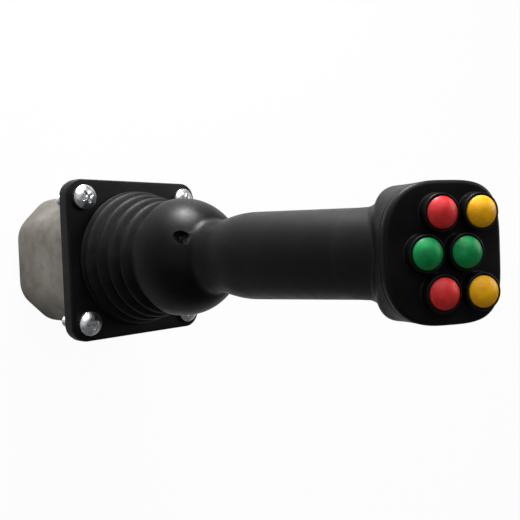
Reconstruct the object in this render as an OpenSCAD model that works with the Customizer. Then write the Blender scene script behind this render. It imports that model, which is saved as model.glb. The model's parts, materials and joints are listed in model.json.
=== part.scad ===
// Panel-mounted two-axis joystick with a six-button palm grip.
// Z runs up along the lever. Z = 0 is the plane where the flange meets the panel,
// X is the operator's right, and the buttons face -Y, towards the operator.

/* [Flange] */
// Side of the square flange plate
flange_w = 80; // [76:1:96]
// Corner radius of the flange plate
flange_corner_r = 8.5; // [6:0.5:11]
// Thickness of the flange plate
flange_t = 6; // [5:0.5:8]
// Thickness of the rubber gasket under the plate
gasket_t = 2; // [1.5:0.5:3]
// How far the gasket stays back from the plate's edge
gasket_inset = 0.5; // [0.3:0.1:1]
// Distance of the mounting screws from the plate's sides
bolt_edge = 9; // [8:0.5:9.5]
// Thread diameter of the mounting screws
bolt_d = 6; // [5:0.5:6]
// Radial clearance of the mounting screws in their holes
bolt_clear = 0.3; // [0.1:0.1:0.5]
// Length of the mounting screws under the head
bolt_len = 22; // [16:1:30]
// Diameter of the mounting screws' plain neck, between head and thread
bolt_neck_d = 5.4; // [4.4:0.1:5.6]
// Diameter of the mounting screws' pan heads
bolt_head_d = 12; // [10:0.5:13]
// Height of the mounting screws' pan heads
bolt_head_h = 4.6; // [3:0.2:5]
// Radius of the round opening that the lever moves in
opening_r = 20; // [18:0.5:21]

/* [Housing can] */
// How far the flange reaches past the can on every side
flange_margin = 5; // [4.5:0.5:6]
// Length of each cut corner of the can, along the side
can_chamfer = 17; // [15:0.5:18]
// Rounding of the can's upright edges
can_edge_r = 16; // [10:1:18]
// Depth of the can below the panel plane
can_depth = 56; // [55:1:70]
// Wall of the can
can_wall = 2; // [1.5:0.25:2.25]
// Floor of the can
can_floor = 2.5; // [2:0.25:3.5]
// Bevel round the can's floor
can_bevel = 1.8; // [1:0.2:2.4]
// Gap between the can and what sits inside or round it
can_fit = 0.3; // [0.2:0.1:0.5]
// Bore of the cable grommet
cable_d = 7; // [5:0.5:8]
// Wall of the grommet's waist
grommet_wall = 2.5; // [2:0.25:3]
// How far the grommet's lips reach past its waist
grommet_lip = 2.5; // [1.5:0.25:3]

/* [Gimbal] */
// Depth of the tilt centre below the panel plane
pivot_drop = 16; // [15.5:0.5:18]
// Largest tilt each way, in degrees
tilt_max = 18; // [12:1:18]
// Thickness of the bearing frame's top plate
frame_t = 4; // [3:0.5:4.5]
// Thickness of an ear of the bearing frame
ear_t = 4; // [3:0.5:4.5]
// Room between the X sensor board and the can's wall
board_room = 1.5; // [1:0.25:2]
// Height of the gimbal ring
ring_h = 12; // [10:0.5:13]
// Diameter of the gimbal ring's axles
axle_d = 6; // [5:0.5:7]
// Diameter of the pin through the lever
pin_d = 5; // [4:0.5:5]
// Radial clearance of an axle or pin in its bush
bush_clear = 0.05; // [0.02:0.01:0.1]
// Wall of the bronze bushes
bush_wall = 1.5; // [1:0.25:2]
// Thickness of a bush's collar
bush_collar_t = 1; // [0.5:0.25:1]
// Wire of the return springs
spring_wire = 1; // [0.8:0.1:1.1]
// Mean radius of the return springs
spring_r = 5; // [4.5:0.25:5.5]
// Coils in a return spring
spring_turns = 2; // [1:1:2]
// Radius of the pegs that the spring legs clasp
peg_r = 1; // [0.8:0.1:1.2]

/* [Gate and board] */
// Distance from the tilt centre down to the tail ball
tail_drop = 20.5; // [20.5:0.5:21.5]
// Diameter of the nylon ball on the lever's tail
tail_ball_d = 12; // [11:0.5:13]
// Clearance of the tail ball in the gate at full tilt
gate_clear = 0.4; // [0.2:0.1:0.8]
// Thickness of the gate plate
gate_t = 3; // [2:0.5:3]
// Distance of the posts from the can's sides
post_edge = 13; // [12.75:0.25:13.5]
// Width of the hexagon posts across their corners
post_d = 5.6; // [5:0.2:5.8]
// Diameter of the threads that hold the posts
post_screw_d = 3; // [2.5:0.25:3]
// Length of the posts between the gate and the board
lower_post_len = 6; // [5:0.5:7]
// Thickness of the circuit boards
board_t = 1.6; // [1:0.2:2]

/* [Lever and grip] */
// Outside diameter of the lever tube
lever_d = 10; // [9:0.5:10]
// Bore of the lever tube
lever_bore_d = 6; // [5:0.5:6.5]
// Half of the hub's width
hub_half = 8; // [7.5:0.25:8.25]
// Height of the grip's rim above the flange
rim_z = 36; // [34:1:38]
// Radius of the grip's rim
rim_r = 28.4; // [27:0.2:30]
// Rounding between the skirt's dome and the neck
neck_round = 6.5; // [5:0.5:8]
// Height of the neck above the flange
neck_z = 64; // [62:0.5:66]
// Radius of the neck
neck_r = 16.2; // [16:0.2:17.5]
// Height of the widest place of the handle
swell_z = 87; // [84:1:92]
// Radius of the handle at its widest
swell_r = 18.9; // [18:0.1:20]
// Height of the handle's top edge above the flange
handle_top_z = 141; // [138:1:146]
// Radius of the handle at its top
handle_top_r = 17.3; // [16.8:0.1:18]
// Wall of the handle
grip_wall = 2.8; // [2:0.1:3]
// Gap between the handle and the bushes inside it
grip_fit = 0.1; // [0.05:0.05:0.3]
// Height of the set screw above the flange
set_screw_z = 57.5; // [56.5:0.25:58.5]
// Angle of the set screw from -Y towards -X, in degrees
set_screw_angle = 28; // [0:1:45]
// Thread diameter of the set screw
set_screw_d = 5; // [4:0.5:5]
// Diameter of the set screw's access hole
set_hole_d = 6; // [5.5:0.1:7]

/* [Bellows] */
// Number of folds in the bellows
fold_count = 5; // [4:1:6]
// How far the lowest fold stays back from the plate's sides
fold_edge = 5.5; // [5:0.25:6]
// How much smaller each next fold is
fold_step_r = 2.1; // [1.5:0.1:2.2]
// Depth of a fold
fold_depth = 3.2; // [2:0.2:4]
// Height of the lowest fold above the flange
first_fold_z = 4.6; // [4:0.2:6]
// Wall of the bellows
bellows_t = 1.4; // [1:0.1:1.8]
// Gap between the bellows and what it touches while moving
bellows_gap = 0.3; // [0.2:0.1:0.6]
// Width of the bellows' foot
foot_w = 3; // [2:0.25:4]

/* [Head] */
// Slope of the button panel, in degrees
panel_slope = 32; // [26:1:36]
// Half of the panel's width
panel_half_w = 24; // [23:0.2:25]
// Half of the panel's length along its slope
panel_half_l = 21.6; // [21:0.2:23]
// Thickness of the button panel
panel_t = 3.4; // [3:0.2:4]
// Bevel round the panel's top edge
panel_bevel = 1.6; // [1:0.2:2]
// Height of the panel's middle above the flange
panel_z = 178.4; // [176:0.4:184]
// How far the panel's middle lies in front of the lever
panel_fwd = 7.2; // [5:0.4:9]
// Squareness of the panel's upper end: 2 is an ellipse
panel_square_top = 3.8; // [3.4:0.1:6]
// Squareness of the panel's lower end: 2 is an ellipse
panel_square_low = 2.6; // [2.2:0.1:4]
// Where the head's sides start to flare, as a share of the way from handle to panel
flare_start = 0.1; // [0.05:0.01:0.2]
// Where the head's sides have reached the panel's width, as the same share
flare_stop = 0.56; // [0.5:0.02:0.7]
// Where the head's front starts to flare, as the same share
flare_front = 0.7; // [0.5:0.02:0.75]
// Wall of the head housing
head_wall = 2.6; // [2:0.1:3]
// Floor of the head housing
head_floor = 3; // [2.5:0.25:4]

/* [Buttons] */
// Distance between button columns
button_pitch_x = 13.1; // [12.8:0.1:13.6]
// Distance between buttons of a column
button_pitch_y = 14.2; // [13.6:0.1:14.6]
// How far the middle column sits below the outer ones
button_stagger = 5.6; // [3:0.2:6.2]
// How far the outer columns' middle lies above the panel's middle
button_shift = 4.7; // [4:0.1:5]
// Diameter of a button cap
cap_d = 10.6; // [10:0.1:11]
// Height of a cap's straight side
cap_side_h = 1.1; // [1:0.1:2.2]
// Height of a cap's dome
cap_dome_h = 2.7; // [1.5:0.1:3.4]
// Travel of a button
button_travel = 2; // [1:0.25:2.25]
// Gap between a cap and its bezel
cap_gap = 0.3; // [0.2:0.05:0.4]
// Wall of a bezel
bezel_wall = 0.75; // [0.5:0.05:0.75]
// Height of a bezel above the panel
bezel_h = 3.8; // [3:0.1:4.4]
// Thickness of a bezel's floor
bezel_floor = 0.6; // [0.4:0.1:1]
// Diameter of a switch body behind the panel
switch_d = 9.6; // [8:0.2:10]
// Length of a switch body behind the panel
switch_len = 11.5; // [11:0.5:12]
// Diameter of a button's stem
stem_d = 4; // [3:0.25:5]
// Wall of the round nuts behind the panel
nut_wall = 0.8; // [0.6:0.1:0.9]
// Radial clearance of a stem in its switch
stem_clear = 0.08; // [0.03:0.01:0.1]

/* [Hidden] */
$fn = 64;

// Colours
black_plastic = [0.07, 0.07, 0.07];
black_rubber = [0.05, 0.05, 0.05];
can_metal = [0.62, 0.59, 0.54];
zinc = [0.8, 0.8, 0.82];
steel = [0.65, 0.66, 0.68];
bronze = [0.7, 0.5, 0.25];
board_green = [0.05, 0.3, 0.15];
nylon = [0.9, 0.9, 0.86];
cap_red = [0.72, 0.12, 0.12];
cap_yellow = [0.9, 0.68, 0.05];
cap_green = [0.04, 0.42, 0.2];

// Widths
can_w = flange_w - 2 * flange_margin;
bolt_pitch = flange_w - 2 * bolt_edge;
fold_r = flange_w / 2 - fold_edge;
post_xy = can_w / 2 - post_edge;

// Heights
face_z = gasket_t + flange_t;
can_base_z = -can_depth;
can_floor_z = can_base_z + can_floor;
frame_z = gasket_t - frame_t;
pivot_z = -pivot_drop;
ball_z = pivot_z - tail_drop;
gate_top_z = ball_z + gate_t / 2;
gate_base_z = gate_top_z - gate_t;
board_top_z = gate_base_z - lower_post_len;
board_base_z = board_top_z - board_t;
handle_z = face_z + handle_top_z;

// Small sizes that belong to bought screws and chips
overlap = 0.5;
recess_d = 3.4;
recess_slot = 0.9;
recess_depth = 2;
screw_fit = 0.05;
csk_depth = 2.1;
csk_r = 4;
csk_cut_r = csk_r - 0.2;
csk_rim = 0.5;
frame_screw_r = 2;
frame_screw_edge = 3.2;
clip_t = 0.4;
clip_gap = 0.2;
magnet_r = 2.6;
magnet_t = 1.6;
magnet_gap = 0.5;
magnet_stand = 1;
chip_t = 0.8;
chip_w = 5;
driver_chip_w = 7;
driver_chip_l = 9;
header_w = 20;
header_l = 7;
header_pins = 6;
sensor_board_w = 13;
sensor_board_h = 10;
pillar_r = 1.2;
spring_pitch = spring_wire * 1.1;
spring_gap = 0.15;

// Mechanism: the X sensor's parts and the ears stand in from the can's wall, the ring stands
// in from the ears, and a return spring fills the room on each side of the ring.
spring_room = spring_turns * spring_pitch + spring_wire + 2 * spring_gap;
x_board_x = can_w / 2 - can_wall - board_room - board_t;
x_magnet_x = x_board_x - chip_t - magnet_gap - magnet_t;
ear_x = x_magnet_x - magnet_stand - ear_t;
ring_half = ear_x - bush_collar_t - spring_room;
ring_in = hub_half + spring_room;
frame_w_inset = can_wall + can_fit;
bush_r = axle_d / 2 + bush_clear + bush_wall;
pin_bush_r = pin_d / 2 + bush_clear + bush_wall;
ear_boss_r = bush_r + 3.6;
ear_half_w = ear_boss_r - 1.4;
moving_peg_z = -(spring_r + spring_wire / 2 + peg_r + 1.4);
fixed_peg_z = moving_peg_z - 2 * peg_r - 1;
leg_z = fixed_peg_z - peg_r - 0.4;
y_magnet_y = ring_half + 0.8;
y_board_y = y_magnet_y + magnet_t + magnet_gap + chip_t;
gate_half = tail_drop * sin(tilt_max) + tail_ball_d / 2 + gate_clear;
post_pts = [for (x = [-1, 1], y = [-1, 1]) [x * post_xy, y * post_xy]];
bolt_pts = [for (x = [-1, 1], y = [-1, 1]) [x * bolt_pitch / 2, y * bolt_pitch / 2]];

// Grip
handle_top_in_r = handle_top_r - grip_wall;
dome_turn = acos((neck_r + neck_round) / (rim_r + neck_round));
dome_z = neck_z - (rim_r + neck_round) * sin(dome_turn);
lower_bush_r = neck_r - grip_wall - grip_fit;
bush_below_screw = 4;
bush_above_neck = 6;
lower_bush_z = set_screw_z - bush_below_screw;
lower_bush_len = neck_z + bush_above_neck - lower_bush_z;
set_screw_proud = 3.4;
set_socket_depth = 2.4;
upper_bush_len = 12;
collar_r = lever_d / 2 + 3;
collar_z = rim_z - 2;
panel_squares = [panel_square_top, panel_square_low];
nut_h = 6;
washer_t = 1.2;
washer_r = 9;
lever_top_z = handle_z + head_floor + washer_t + nut_h + 2;

// Screws of the bearing frame: inside the frame's edge and inside the bellows' foot
frame_screw_at = min(can_w / 2 - frame_w_inset - frame_screw_edge,
    bellows_foot_in_r() - bellows_gap - csk_cut_r - csk_rim);

// Bellows
fold_pitch = (rim_z - 4 - first_fold_z) / (fold_count - 1);
cuff_len = 6;
roof_z = first_fold_z + (fold_count - 1) * fold_pitch;

// Buttons: columns at -1, 0 and 1, rows at 0 and 1
function button_at(col, row) = [col * button_pitch_x,
    button_shift + (row - 0.5) * button_pitch_y - (col == 0 ? button_stagger : 0)];
button_pts = [for (col = [-1, 0, 1], row = [0, 1]) button_at(col, row)];
bezel_in_r = cap_d / 2 + cap_gap;
bezel_r = bezel_in_r + bezel_wall;
cap_base_h = bezel_h - 0.9;
stem_len = 8;

// Panel lug and its screws
lug_w = 12;
lug_h = 5.4;
lug_fit = 0.2;
lug_draft = 2;
lug_y = button_at(0, 1)[1] + switch_d / 2 + 1.2;
lug_end = panel_half_l - head_wall - lug_fit;
panel_screw_x = 3.4;
panel_screw_r = 1.25;
panel_screw_head_r = 2.3;
panel_screw_head_h = 1.2;
panel_screw_len = 6;
screw_clear = 0.3;

// Board behind the switches: how far it stays inside the panel's outline
board_side_gap = 7;
board_top_gap = 7.5;
board_low_gap = 8.5;
board_corner_r = 6;

function unit(v) = v / norm(v);

// A convex outline, counter-clockwise, with every corner rounded to radius r in n steps.
function rounded(points, r, n) = [
    for (i = [0 : len(points) - 1])
        let (p = points[i],
             a = unit(points[(i + len(points) - 1) % len(points)] - p),
             b = unit(points[(i + 1) % len(points)] - p),
             half = acos(a * b) / 2,
             centre = p + unit(a + b) * r / sin(half),
             start = p + a * r / tan(half) - centre,
             from = atan2(start[1], start[0]))
        for (k = [0 : n])
            centre + r * [cos(from + (180 - 2 * half) * k / n),
                          sin(from + (180 - 2 * half) * k / n)]];

function square_points(w) = [[w, -w], [w, w], [-w, w], [-w, -w]] / 2;

function octagon_points(h, k) = [[h, -k], [h, k], [k, h], [-k, h],
                                 [-h, k], [-h, -k], [-k, -h], [k, -h]];

// The can's outline moved in by the given distance on every side.
module can_outline(inset = 0) {
    h = can_w / 2 - inset;
    k = h - can_chamfer + inset * (2 - sqrt(2));
    polygon(rounded(octagon_points(h, k), max(can_edge_r - inset, 0.5), 3));
}

module flange_outline(inset = 0)
    polygon(rounded(square_points(flange_w - 2 * inset), flange_corner_r - inset, 6));

// A ring of z height h, standing on z = 0.
module tube(r, r_in, h) difference() {
    cylinder(r = r, h = h);
    translate([0, 0, -overlap]) cylinder(r = r_in, h = h + 2 * overlap);
}

module cross_recess(d, slot, depth) for (turn = [0, 90])
    rotate(turn) translate([-d / 2, -slot / 2, -depth]) cube([d, slot, depth + overlap]);

// Countersunk screw: its flat head's top is at z = 0 and its shank runs down.
module countersunk_screw(r, head_r, head_h, len, slot_d = recess_d) difference() {
    rotate_extrude() polygon([[0, 0], [head_r, 0], [r, -head_h], [r, -len], [0, -len]]);
    cross_recess(slot_d, recess_slot, head_h * 0.7);
}

module countersink(r, head_r, head_h, len) rotate_extrude()
    polygon([[0, overlap], [head_r, overlap], [head_r, 0], [r, -head_h], [r, -len], [0, -len]]);

// Pan-head screw: the underside of its head is at z = 0 and its shank runs down, first a
// plain neck and then the thread, which ends in a lead.
// The head is the part of a ball that lies above that plane, with a rim under it.
module pan_screw(r, head_r, head_h, len, neck_r, neck_len) {
    lead = r * 0.3;
    side_h = head_h * 0.45;
    dome_h = head_h - side_h;
    dome_r = (head_r * head_r + dome_h * dome_h) / (2 * dome_h);
    difference() {
        union() {
            cylinder(r = head_r, h = side_h);
            intersection() {
                translate([0, 0, head_h - dome_r]) sphere(r = dome_r, $fn = 96);
                cylinder(r = head_r, h = head_h + overlap);
            }
            translate([0, 0, -neck_len]) cylinder(r = neck_r, h = neck_len);
            translate([0, 0, lead - len]) cylinder(r = r, h = len - lead - neck_len);
            translate([0, 0, -len]) cylinder(r1 = r - lead, r2 = r, h = lead);
        }
        translate([0, 0, head_h]) cross_recess(head_r * 1.05, head_r * 0.2, head_h * 0.6);
    }
}

module hexagon(d, h) cylinder(d = d, h = h, $fn = 6);

/* Housing */

module housing_can() color(can_metal) difference() {
    union() {
        translate([0, 0, can_base_z + can_bevel])
            linear_extrude(gasket_t - can_base_z - can_bevel) can_outline();
        hull() {
            translate([0, 0, can_base_z]) linear_extrude(0.01) can_outline(can_bevel);
            translate([0, 0, can_base_z + can_bevel]) linear_extrude(0.01) can_outline();
        }
    }
    translate([0, 0, can_floor_z]) linear_extrude(can_depth + face_z) can_outline(can_wall);
    translate([0, 0, can_base_z - overlap])
        cylinder(r = cable_d / 2 + grommet_wall, h = can_floor + 2 * overlap);
    translate([0, 0, can_base_z - overlap])
        cylinder(r = cable_d / 2 + grommet_wall + grommet_lip + can_fit, h = can_floor / 2 + overlap);
    for (p = post_pts) translate([p[0], p[1], can_base_z]) mirror([0, 0, 1])
        countersink(post_screw_d / 2 + can_fit, post_screw_d, can_floor * 0.6, can_floor + overlap);
}

// Countersunk screws through the can's floor into the posts.
module can_screws() color(steel)
    for (p = post_pts) translate([p[0], p[1], can_base_z + 0.15]) mirror([0, 0, 1])
        countersunk_screw(post_screw_d / 2, post_screw_d - 0.15, can_floor * 0.6,
                          can_floor + (board_base_z - can_floor_z) * 0.6, post_screw_d);

// Rubber grommet in the can's floor, with its lower lip let into the floor.
module cable_grommet() color(black_rubber) {
    waist_r = cable_d / 2 + grommet_wall;
    lip_r = waist_r + grommet_lip;
    low = can_base_z + 0.2;
    mid = can_base_z + can_floor / 2;
    high = can_floor_z + 1.6;
    rotate_extrude() polygon([[cable_d / 2, low], [lip_r, low], [lip_r, mid], [waist_r, mid],
                              [waist_r, can_floor_z], [lip_r, can_floor_z], [lip_r - 0.8, high],
                              [cable_d / 2, high]]);
}

module flange_gasket() color(black_rubber) linear_extrude(gasket_t) difference() {
    flange_outline(gasket_inset);
    can_outline(-can_fit);
    for (p = bolt_pts) translate(p) circle(r = bolt_d / 2 + bolt_clear);
}

// Moulded flange with a raised collar that the bellows' foot snaps round.
module flange_plate() color(black_plastic) difference() {
    union() {
        translate([0, 0, gasket_t]) linear_extrude(flange_t) flange_outline();
        translate([0, 0, face_z]) cylinder(r = bellows_foot_in_r() - bellows_gap, h = 1.4);
    }
    translate([0, 0, gasket_t - overlap]) cylinder(r = opening_r, h = flange_t + 3);
    for (p = bolt_pts) translate([p[0], p[1], gasket_t - overlap])
        cylinder(r = bolt_d / 2 + bolt_clear, h = flange_t + 2 * overlap);
    for (turn = [0 : 90 : 270]) rotate(turn) translate([frame_screw_at, 0, face_z + 1.4])
        countersink(frame_screw_r + can_fit, csk_cut_r, csk_depth, flange_t + 2 + overlap);
}

module mounting_screws() color(zinc)
    for (p = bolt_pts) translate([p[0], p[1], face_z])
        pan_screw(bolt_d / 2, bolt_head_d / 2, bolt_head_h, bolt_len, bolt_neck_d / 2, face_z);

// Countersunk screws that hold the bearing frame under the flange.
module frame_screws() color(zinc)
    for (turn = [0 : 90 : 270]) rotate(turn) translate([frame_screw_at, 0, face_z + 1.4])
        countersunk_screw(frame_screw_r, csk_r - 0.3, csk_depth,
                          flange_t + 1.4 + frame_t - 0.4, recess_d);

/* Bellows */

function bellows_foot_in_r() = fold_r - foot_w + 0.6;

// Height above the flange and outside radius along the folds: a cosine wave whose crests
// step in by fold_step_r from fold to fold.
function fold_profile(steps) = [
    for (i = [0 : steps * (fold_count - 1)])
        let (fold = i / steps, dip = (1 - cos(360 * fold)) / 2)
        [fold_r - fold_step_r * fold - fold_depth * dip, first_fold_z + fold_pitch * fold]];

function bellows_outside() = concat(
    [[fold_r + 0.5, 0.15], [fold_r + 0.5, 1.6], [fold_r - fold_depth * 0.6, 2.2]],
    fold_profile(6),
    [[fold_r - fold_step_r * (fold_count - 1) - 2.4, roof_z + 2.2],
     [collar_r + bellows_gap + bellows_t + 3, roof_z + 4.6],
     [collar_r + bellows_gap + bellows_t, roof_z + 6.4],
     [collar_r + bellows_gap + bellows_t, roof_z + 6.4 + cuff_len]]);

function bellows_inside() = concat(
    [[bellows_foot_in_r(), 0.15], [bellows_foot_in_r(), 2],
     [fold_r - fold_depth * 0.6 - bellows_t, 2.9]],
    [for (p = fold_profile(6)) [p[0] - bellows_t, p[1]]],
    [[fold_r - fold_step_r * (fold_count - 1) - 2.4 - bellows_t, roof_z + 2.2 - bellows_t],
     [collar_r + bellows_gap + 2.4, roof_z + 4.6 - bellows_t],
     [collar_r + bellows_gap, roof_z + 6.4 - bellows_t],
     [collar_r + bellows_gap, roof_z + 6.4 + cuff_len]]);

module rubber_bellows() color(black_rubber) translate([0, 0, face_z]) {
    inside = bellows_inside();
    rotate_extrude() polygon(concat(bellows_outside(),
        [for (i = [len(inside) - 1 : -1 : 0]) inside[i]]));
}

/* Bearing frame, gate and boards */

// Die-cast frame: a plate under the flange with two ears that carry the gimbal's axles.
module bearing_frame() color(steel) difference() {
    union() {
        translate([0, 0, frame_z]) linear_extrude(frame_t) can_outline(frame_w_inset);
        for (side = [-1, 1]) scale_x(side) {
            translate([ear_x, -ear_half_w, pivot_z + leg_z])
                cube([ear_t, 2 * ear_half_w, frame_z + overlap - pivot_z - leg_z]);
            translate([ear_x, 0, pivot_z]) rotate([0, 90, 0]) cylinder(r = ear_boss_r, h = ear_t);
        }
        translate([ear_x - spring_turns * spring_pitch - 1.2, 0, pivot_z + fixed_peg_z])
            rotate([0, 90, 0]) cylinder(r = peg_r, h = spring_turns * spring_pitch + 1.2 + overlap);
    }
    translate([0, 0, frame_z - overlap]) cylinder(r = opening_r, h = frame_t + 2 * overlap);
    translate([0, 0, pivot_z]) rotate([0, 90, 0])
        cylinder(r = bush_r, h = 2 * (ear_x + ear_t) + 2, center = true);
    for (turn = [0 : 90 : 270]) rotate(turn) translate([frame_screw_at, 0, frame_z - overlap])
        cylinder(r = frame_screw_r + screw_fit, h = frame_t + 2 * overlap);
    for (p = post_pts) translate([p[0], p[1], frame_z - overlap])
        cylinder(r = post_screw_d / 2 + screw_fit, h = frame_t);
}

module scale_x(side) mirror([side < 0 ? 1 : 0, 0, 0]) children();

// A collared bush lying along +Z, its collar from z = -collar to z = 0.
module collared_bush(r_in, r, collar_r, len) difference() {
    union() {
        cylinder(r = r, h = len);
        translate([0, 0, -bush_collar_t]) cylinder(r = collar_r, h = bush_collar_t);
    }
    translate([0, 0, -bush_collar_t - overlap]) cylinder(r = r_in, h = len + bush_collar_t + 2 * overlap);
}

module frame_bushes() color(bronze) for (side = [-1, 1]) scale_x(side)
    translate([ear_x, 0, pivot_z]) rotate([0, 90, 0])
        collared_bush(axle_d / 2 + bush_clear, bush_r, bush_r + 1.2, ear_t);

// A wire of round section swept along a path that winds about the axis a.
module wire(path, a, r, sides = 8) {
    n = len(path);
    rings = [for (i = [0 : n - 1])
        let (t = unit(path[min(i + 1, n - 1)] - path[max(i - 1, 0)]), b = unit(cross(t, a)),
             c = cross(b, t))
        for (k = [0 : sides - 1]) path[i] + r * (cos(360 * k / sides) * c + sin(360 * k / sides) * b)];
    polyhedron(rings, concat(
        [[for (k = [0 : sides - 1]) k], [for (k = [sides - 1 : -1 : 0]) (n - 1) * sides + k]],
        [for (i = [0 : n - 2], k = [0 : sides - 1])
            [i * sides + k, (i + 1) * sides + k,
             (i + 1) * sides + (k + 1) % sides, i * sides + (k + 1) % sides]]));
}

// Torsion spring about the X axis. Each leg runs from its end, beside the pegs, to the point
// where it touches the coil, and the coil then goes round spring_turns times and a half.
function spring_path() =
    let (side = peg_r + spring_wire / 2 + 0.1, reach = norm([side, leg_z]),
         lean = atan(side / -leg_z), touch = acos(spring_r / reach),
         from = 270 - lean - touch, sweep = 2 * (from - 180) + 180 + 360 * spring_turns,
         steps = 20 * spring_turns + 10)
    concat([[0, -side, leg_z]],
           [for (i = [0 : steps])
               let (angle = from - sweep * i / steps)
               [spring_pitch * spring_turns * i / steps, spring_r * cos(angle), spring_r * sin(angle)]],
           [[spring_pitch * spring_turns, side, leg_z]]);

module return_spring() wire(spring_path(), [1, 0, 0], spring_wire / 2);

module x_return_spring() color(steel)
    translate([ring_half + spring_wire / 2 + spring_gap, 0, pivot_z]) return_spring();

module sensor_board() {
    translate([-sensor_board_w / 2, -sensor_board_h / 2, 0])
        cube([sensor_board_w, sensor_board_h, board_t]);
    translate([-chip_w / 2, -chip_w / 2, -chip_t]) cube([chip_w, chip_w, chip_t + 0.01]);
}

module x_sensor_board() color(board_green)
    translate([x_board_x, 0, pivot_z]) rotate([0, 90, 0]) rotate(90) sensor_board();

module sensor_pillars() color(steel) for (side = [-1, 1])
    translate([ear_x + ear_t, side * (sensor_board_w / 2 - pillar_r), pivot_z])
        rotate([0, 90, 0]) cylinder(r = pillar_r, h = x_board_x - ear_x - ear_t);

// Hexagon posts between two heights, each with a screwed end of the given length below it.
module posts(top, base, stud_len) for (p = post_pts) translate([p[0], p[1], base]) {
    hexagon(post_d, top - base);
    translate([0, 0, -stud_len]) cylinder(d = post_screw_d, h = stud_len + 0.01);
}

module upper_posts() color(steel) posts(frame_z, gate_top_z, gate_t);
module lower_posts() color(steel) posts(gate_base_z, board_top_z, board_t);

// Plate whose square hole stops the tail ball at full tilt.
module gate_plate() color(steel) translate([0, 0, gate_base_z]) difference() {
    linear_extrude(gate_t) can_outline(frame_w_inset + 1);
    translate([0, 0, -overlap]) linear_extrude(gate_t + 2 * overlap)
        polygon(rounded(square_points(2 * gate_half), 3, 4));
    for (p = post_pts) translate([p[0], p[1], -overlap])
        cylinder(r = post_screw_d / 2 + screw_fit, h = gate_t + 2 * overlap);
}

module control_board() color(board_green) translate([0, 0, board_base_z]) difference() {
    union() {
        linear_extrude(board_t) can_outline(frame_w_inset + 1);
        for (x = [-1, 1]) translate([x * driver_chip_w * 0.93 - driver_chip_w / 2, -driver_chip_l * 5 / 3, board_t - 0.01])
            cube([driver_chip_w, driver_chip_l, chip_t * 1.75]);
    }
    for (p = post_pts) translate([p[0], p[1], -overlap])
        cylinder(r = post_screw_d / 2 + screw_fit, h = board_t + 2 * overlap);
}

// Pin header under the board, beside the grommet, for the cable's wires.
module board_header() color(nylon) {
    h = (board_base_z - can_floor_z) * 0.55;
    pitch = header_w / (header_pins + 1);
    translate([-header_w / 2, header_w / 2, board_base_z - h]) difference() {
        cube([header_w, header_l, h]);
        for (i = [1 : header_pins]) translate([(i - 0.38) * pitch, header_l * 0.3, -overlap])
            cube([pitch * 0.76, header_l * 0.4, h * 0.6]);
    }
}

module board_posts() color(steel) difference() {
    posts(board_base_z, can_floor_z, 0.01);
    for (p = post_pts) translate([p[0], p[1], can_floor_z - overlap])
        cylinder(r = post_screw_d / 2 + screw_fit, h = (board_base_z - can_floor_z) * 0.75 + overlap);
}

/* Gimbal */

// Ring between the frame and the lever: axle holes along X, pin holes along Y, and two lugs
// below that carry the moving peg of one spring and the fixed peg of the other.
module gimbal_ring() color(steel) translate([0, 0, pivot_z]) difference() {
    union() {
        translate([0, 0, -ring_h / 2]) linear_extrude(ring_h) difference() {
            polygon(rounded(square_points(2 * ring_half), 3, 3));
            polygon(rounded(square_points(2 * ring_in), 2, 3));
        }
        translate([ring_in, -3, moving_peg_z - peg_r - 1])
            cube([ring_half - ring_in, 6, -moving_peg_z + peg_r + 1 - ring_h / 2 + overlap]);
        translate([-3, ring_in, fixed_peg_z - peg_r - 1])
            cube([6, ring_half - ring_in, -fixed_peg_z + peg_r + 1 - ring_h / 2 + overlap]);
        translate([ring_half - overlap, 0, moving_peg_z]) rotate([0, 90, 0])
            cylinder(r = peg_r, h = overlap + spring_turns * spring_pitch + 0.6);
        translate([0, ring_in + overlap, fixed_peg_z]) rotate([90, 0, 0])
            cylinder(r = peg_r, h = overlap + spring_turns * spring_pitch + 0.6);
    }
    rotate([0, 90, 0]) cylinder(d = axle_d, h = 2 * ring_half + 2, center = true);
    rotate([90, 0, 0]) cylinder(r = pin_bush_r, h = 2 * ring_half + 2, center = true);
}

// Axles pressed into the ring, running out through the frame's bushes.
module gimbal_axles() color(zinc) {
    translate([ring_in, 0, pivot_z]) rotate([0, 90, 0])
        cylinder(d = axle_d, h = x_magnet_x - ring_in);
    translate([-ring_in, 0, pivot_z]) rotate([0, -90, 0])
        cylinder(d = axle_d, h = ear_x + ear_t + 0.5 - ring_in);
}

module x_magnet() color(zinc) translate([x_magnet_x, 0, pivot_z]) rotate([0, 90, 0])
    cylinder(r = magnet_r, h = magnet_t);

module pin_bushes() color(bronze) for (side = [0, 180]) rotate(side)
    translate([0, ring_in, pivot_z]) rotate([-90, 0, 0])
        tube(pin_bush_r, pin_d / 2 + bush_clear, ring_half - ring_in);

module y_return_spring() color(steel)
    translate([0, hub_half + spring_wire / 2 + spring_gap, pivot_z]) rotate(90) return_spring();

module y_sensor_board() color(board_green)
    translate([0, y_board_y, pivot_z]) rotate([-90, 0, 0]) sensor_board();

module y_sensor_pillars() color(steel) for (side = [-1, 1])
    translate([side * (sensor_board_w / 2 - pillar_r), ring_half, pivot_z])
        rotate([-90, 0, 0]) cylinder(r = pillar_r, h = y_board_y - ring_half);

/* Lever */

module lever_tube() color(zinc) difference() {
    translate([0, 0, ball_z]) tube(lever_d / 2, lever_bore_d / 2, lever_top_z - ball_z);
    translate([0, 0, pivot_z]) rotate([90, 0, 0])
        cylinder(d = pin_d, h = lever_d + 2, center = true);
}

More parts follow.
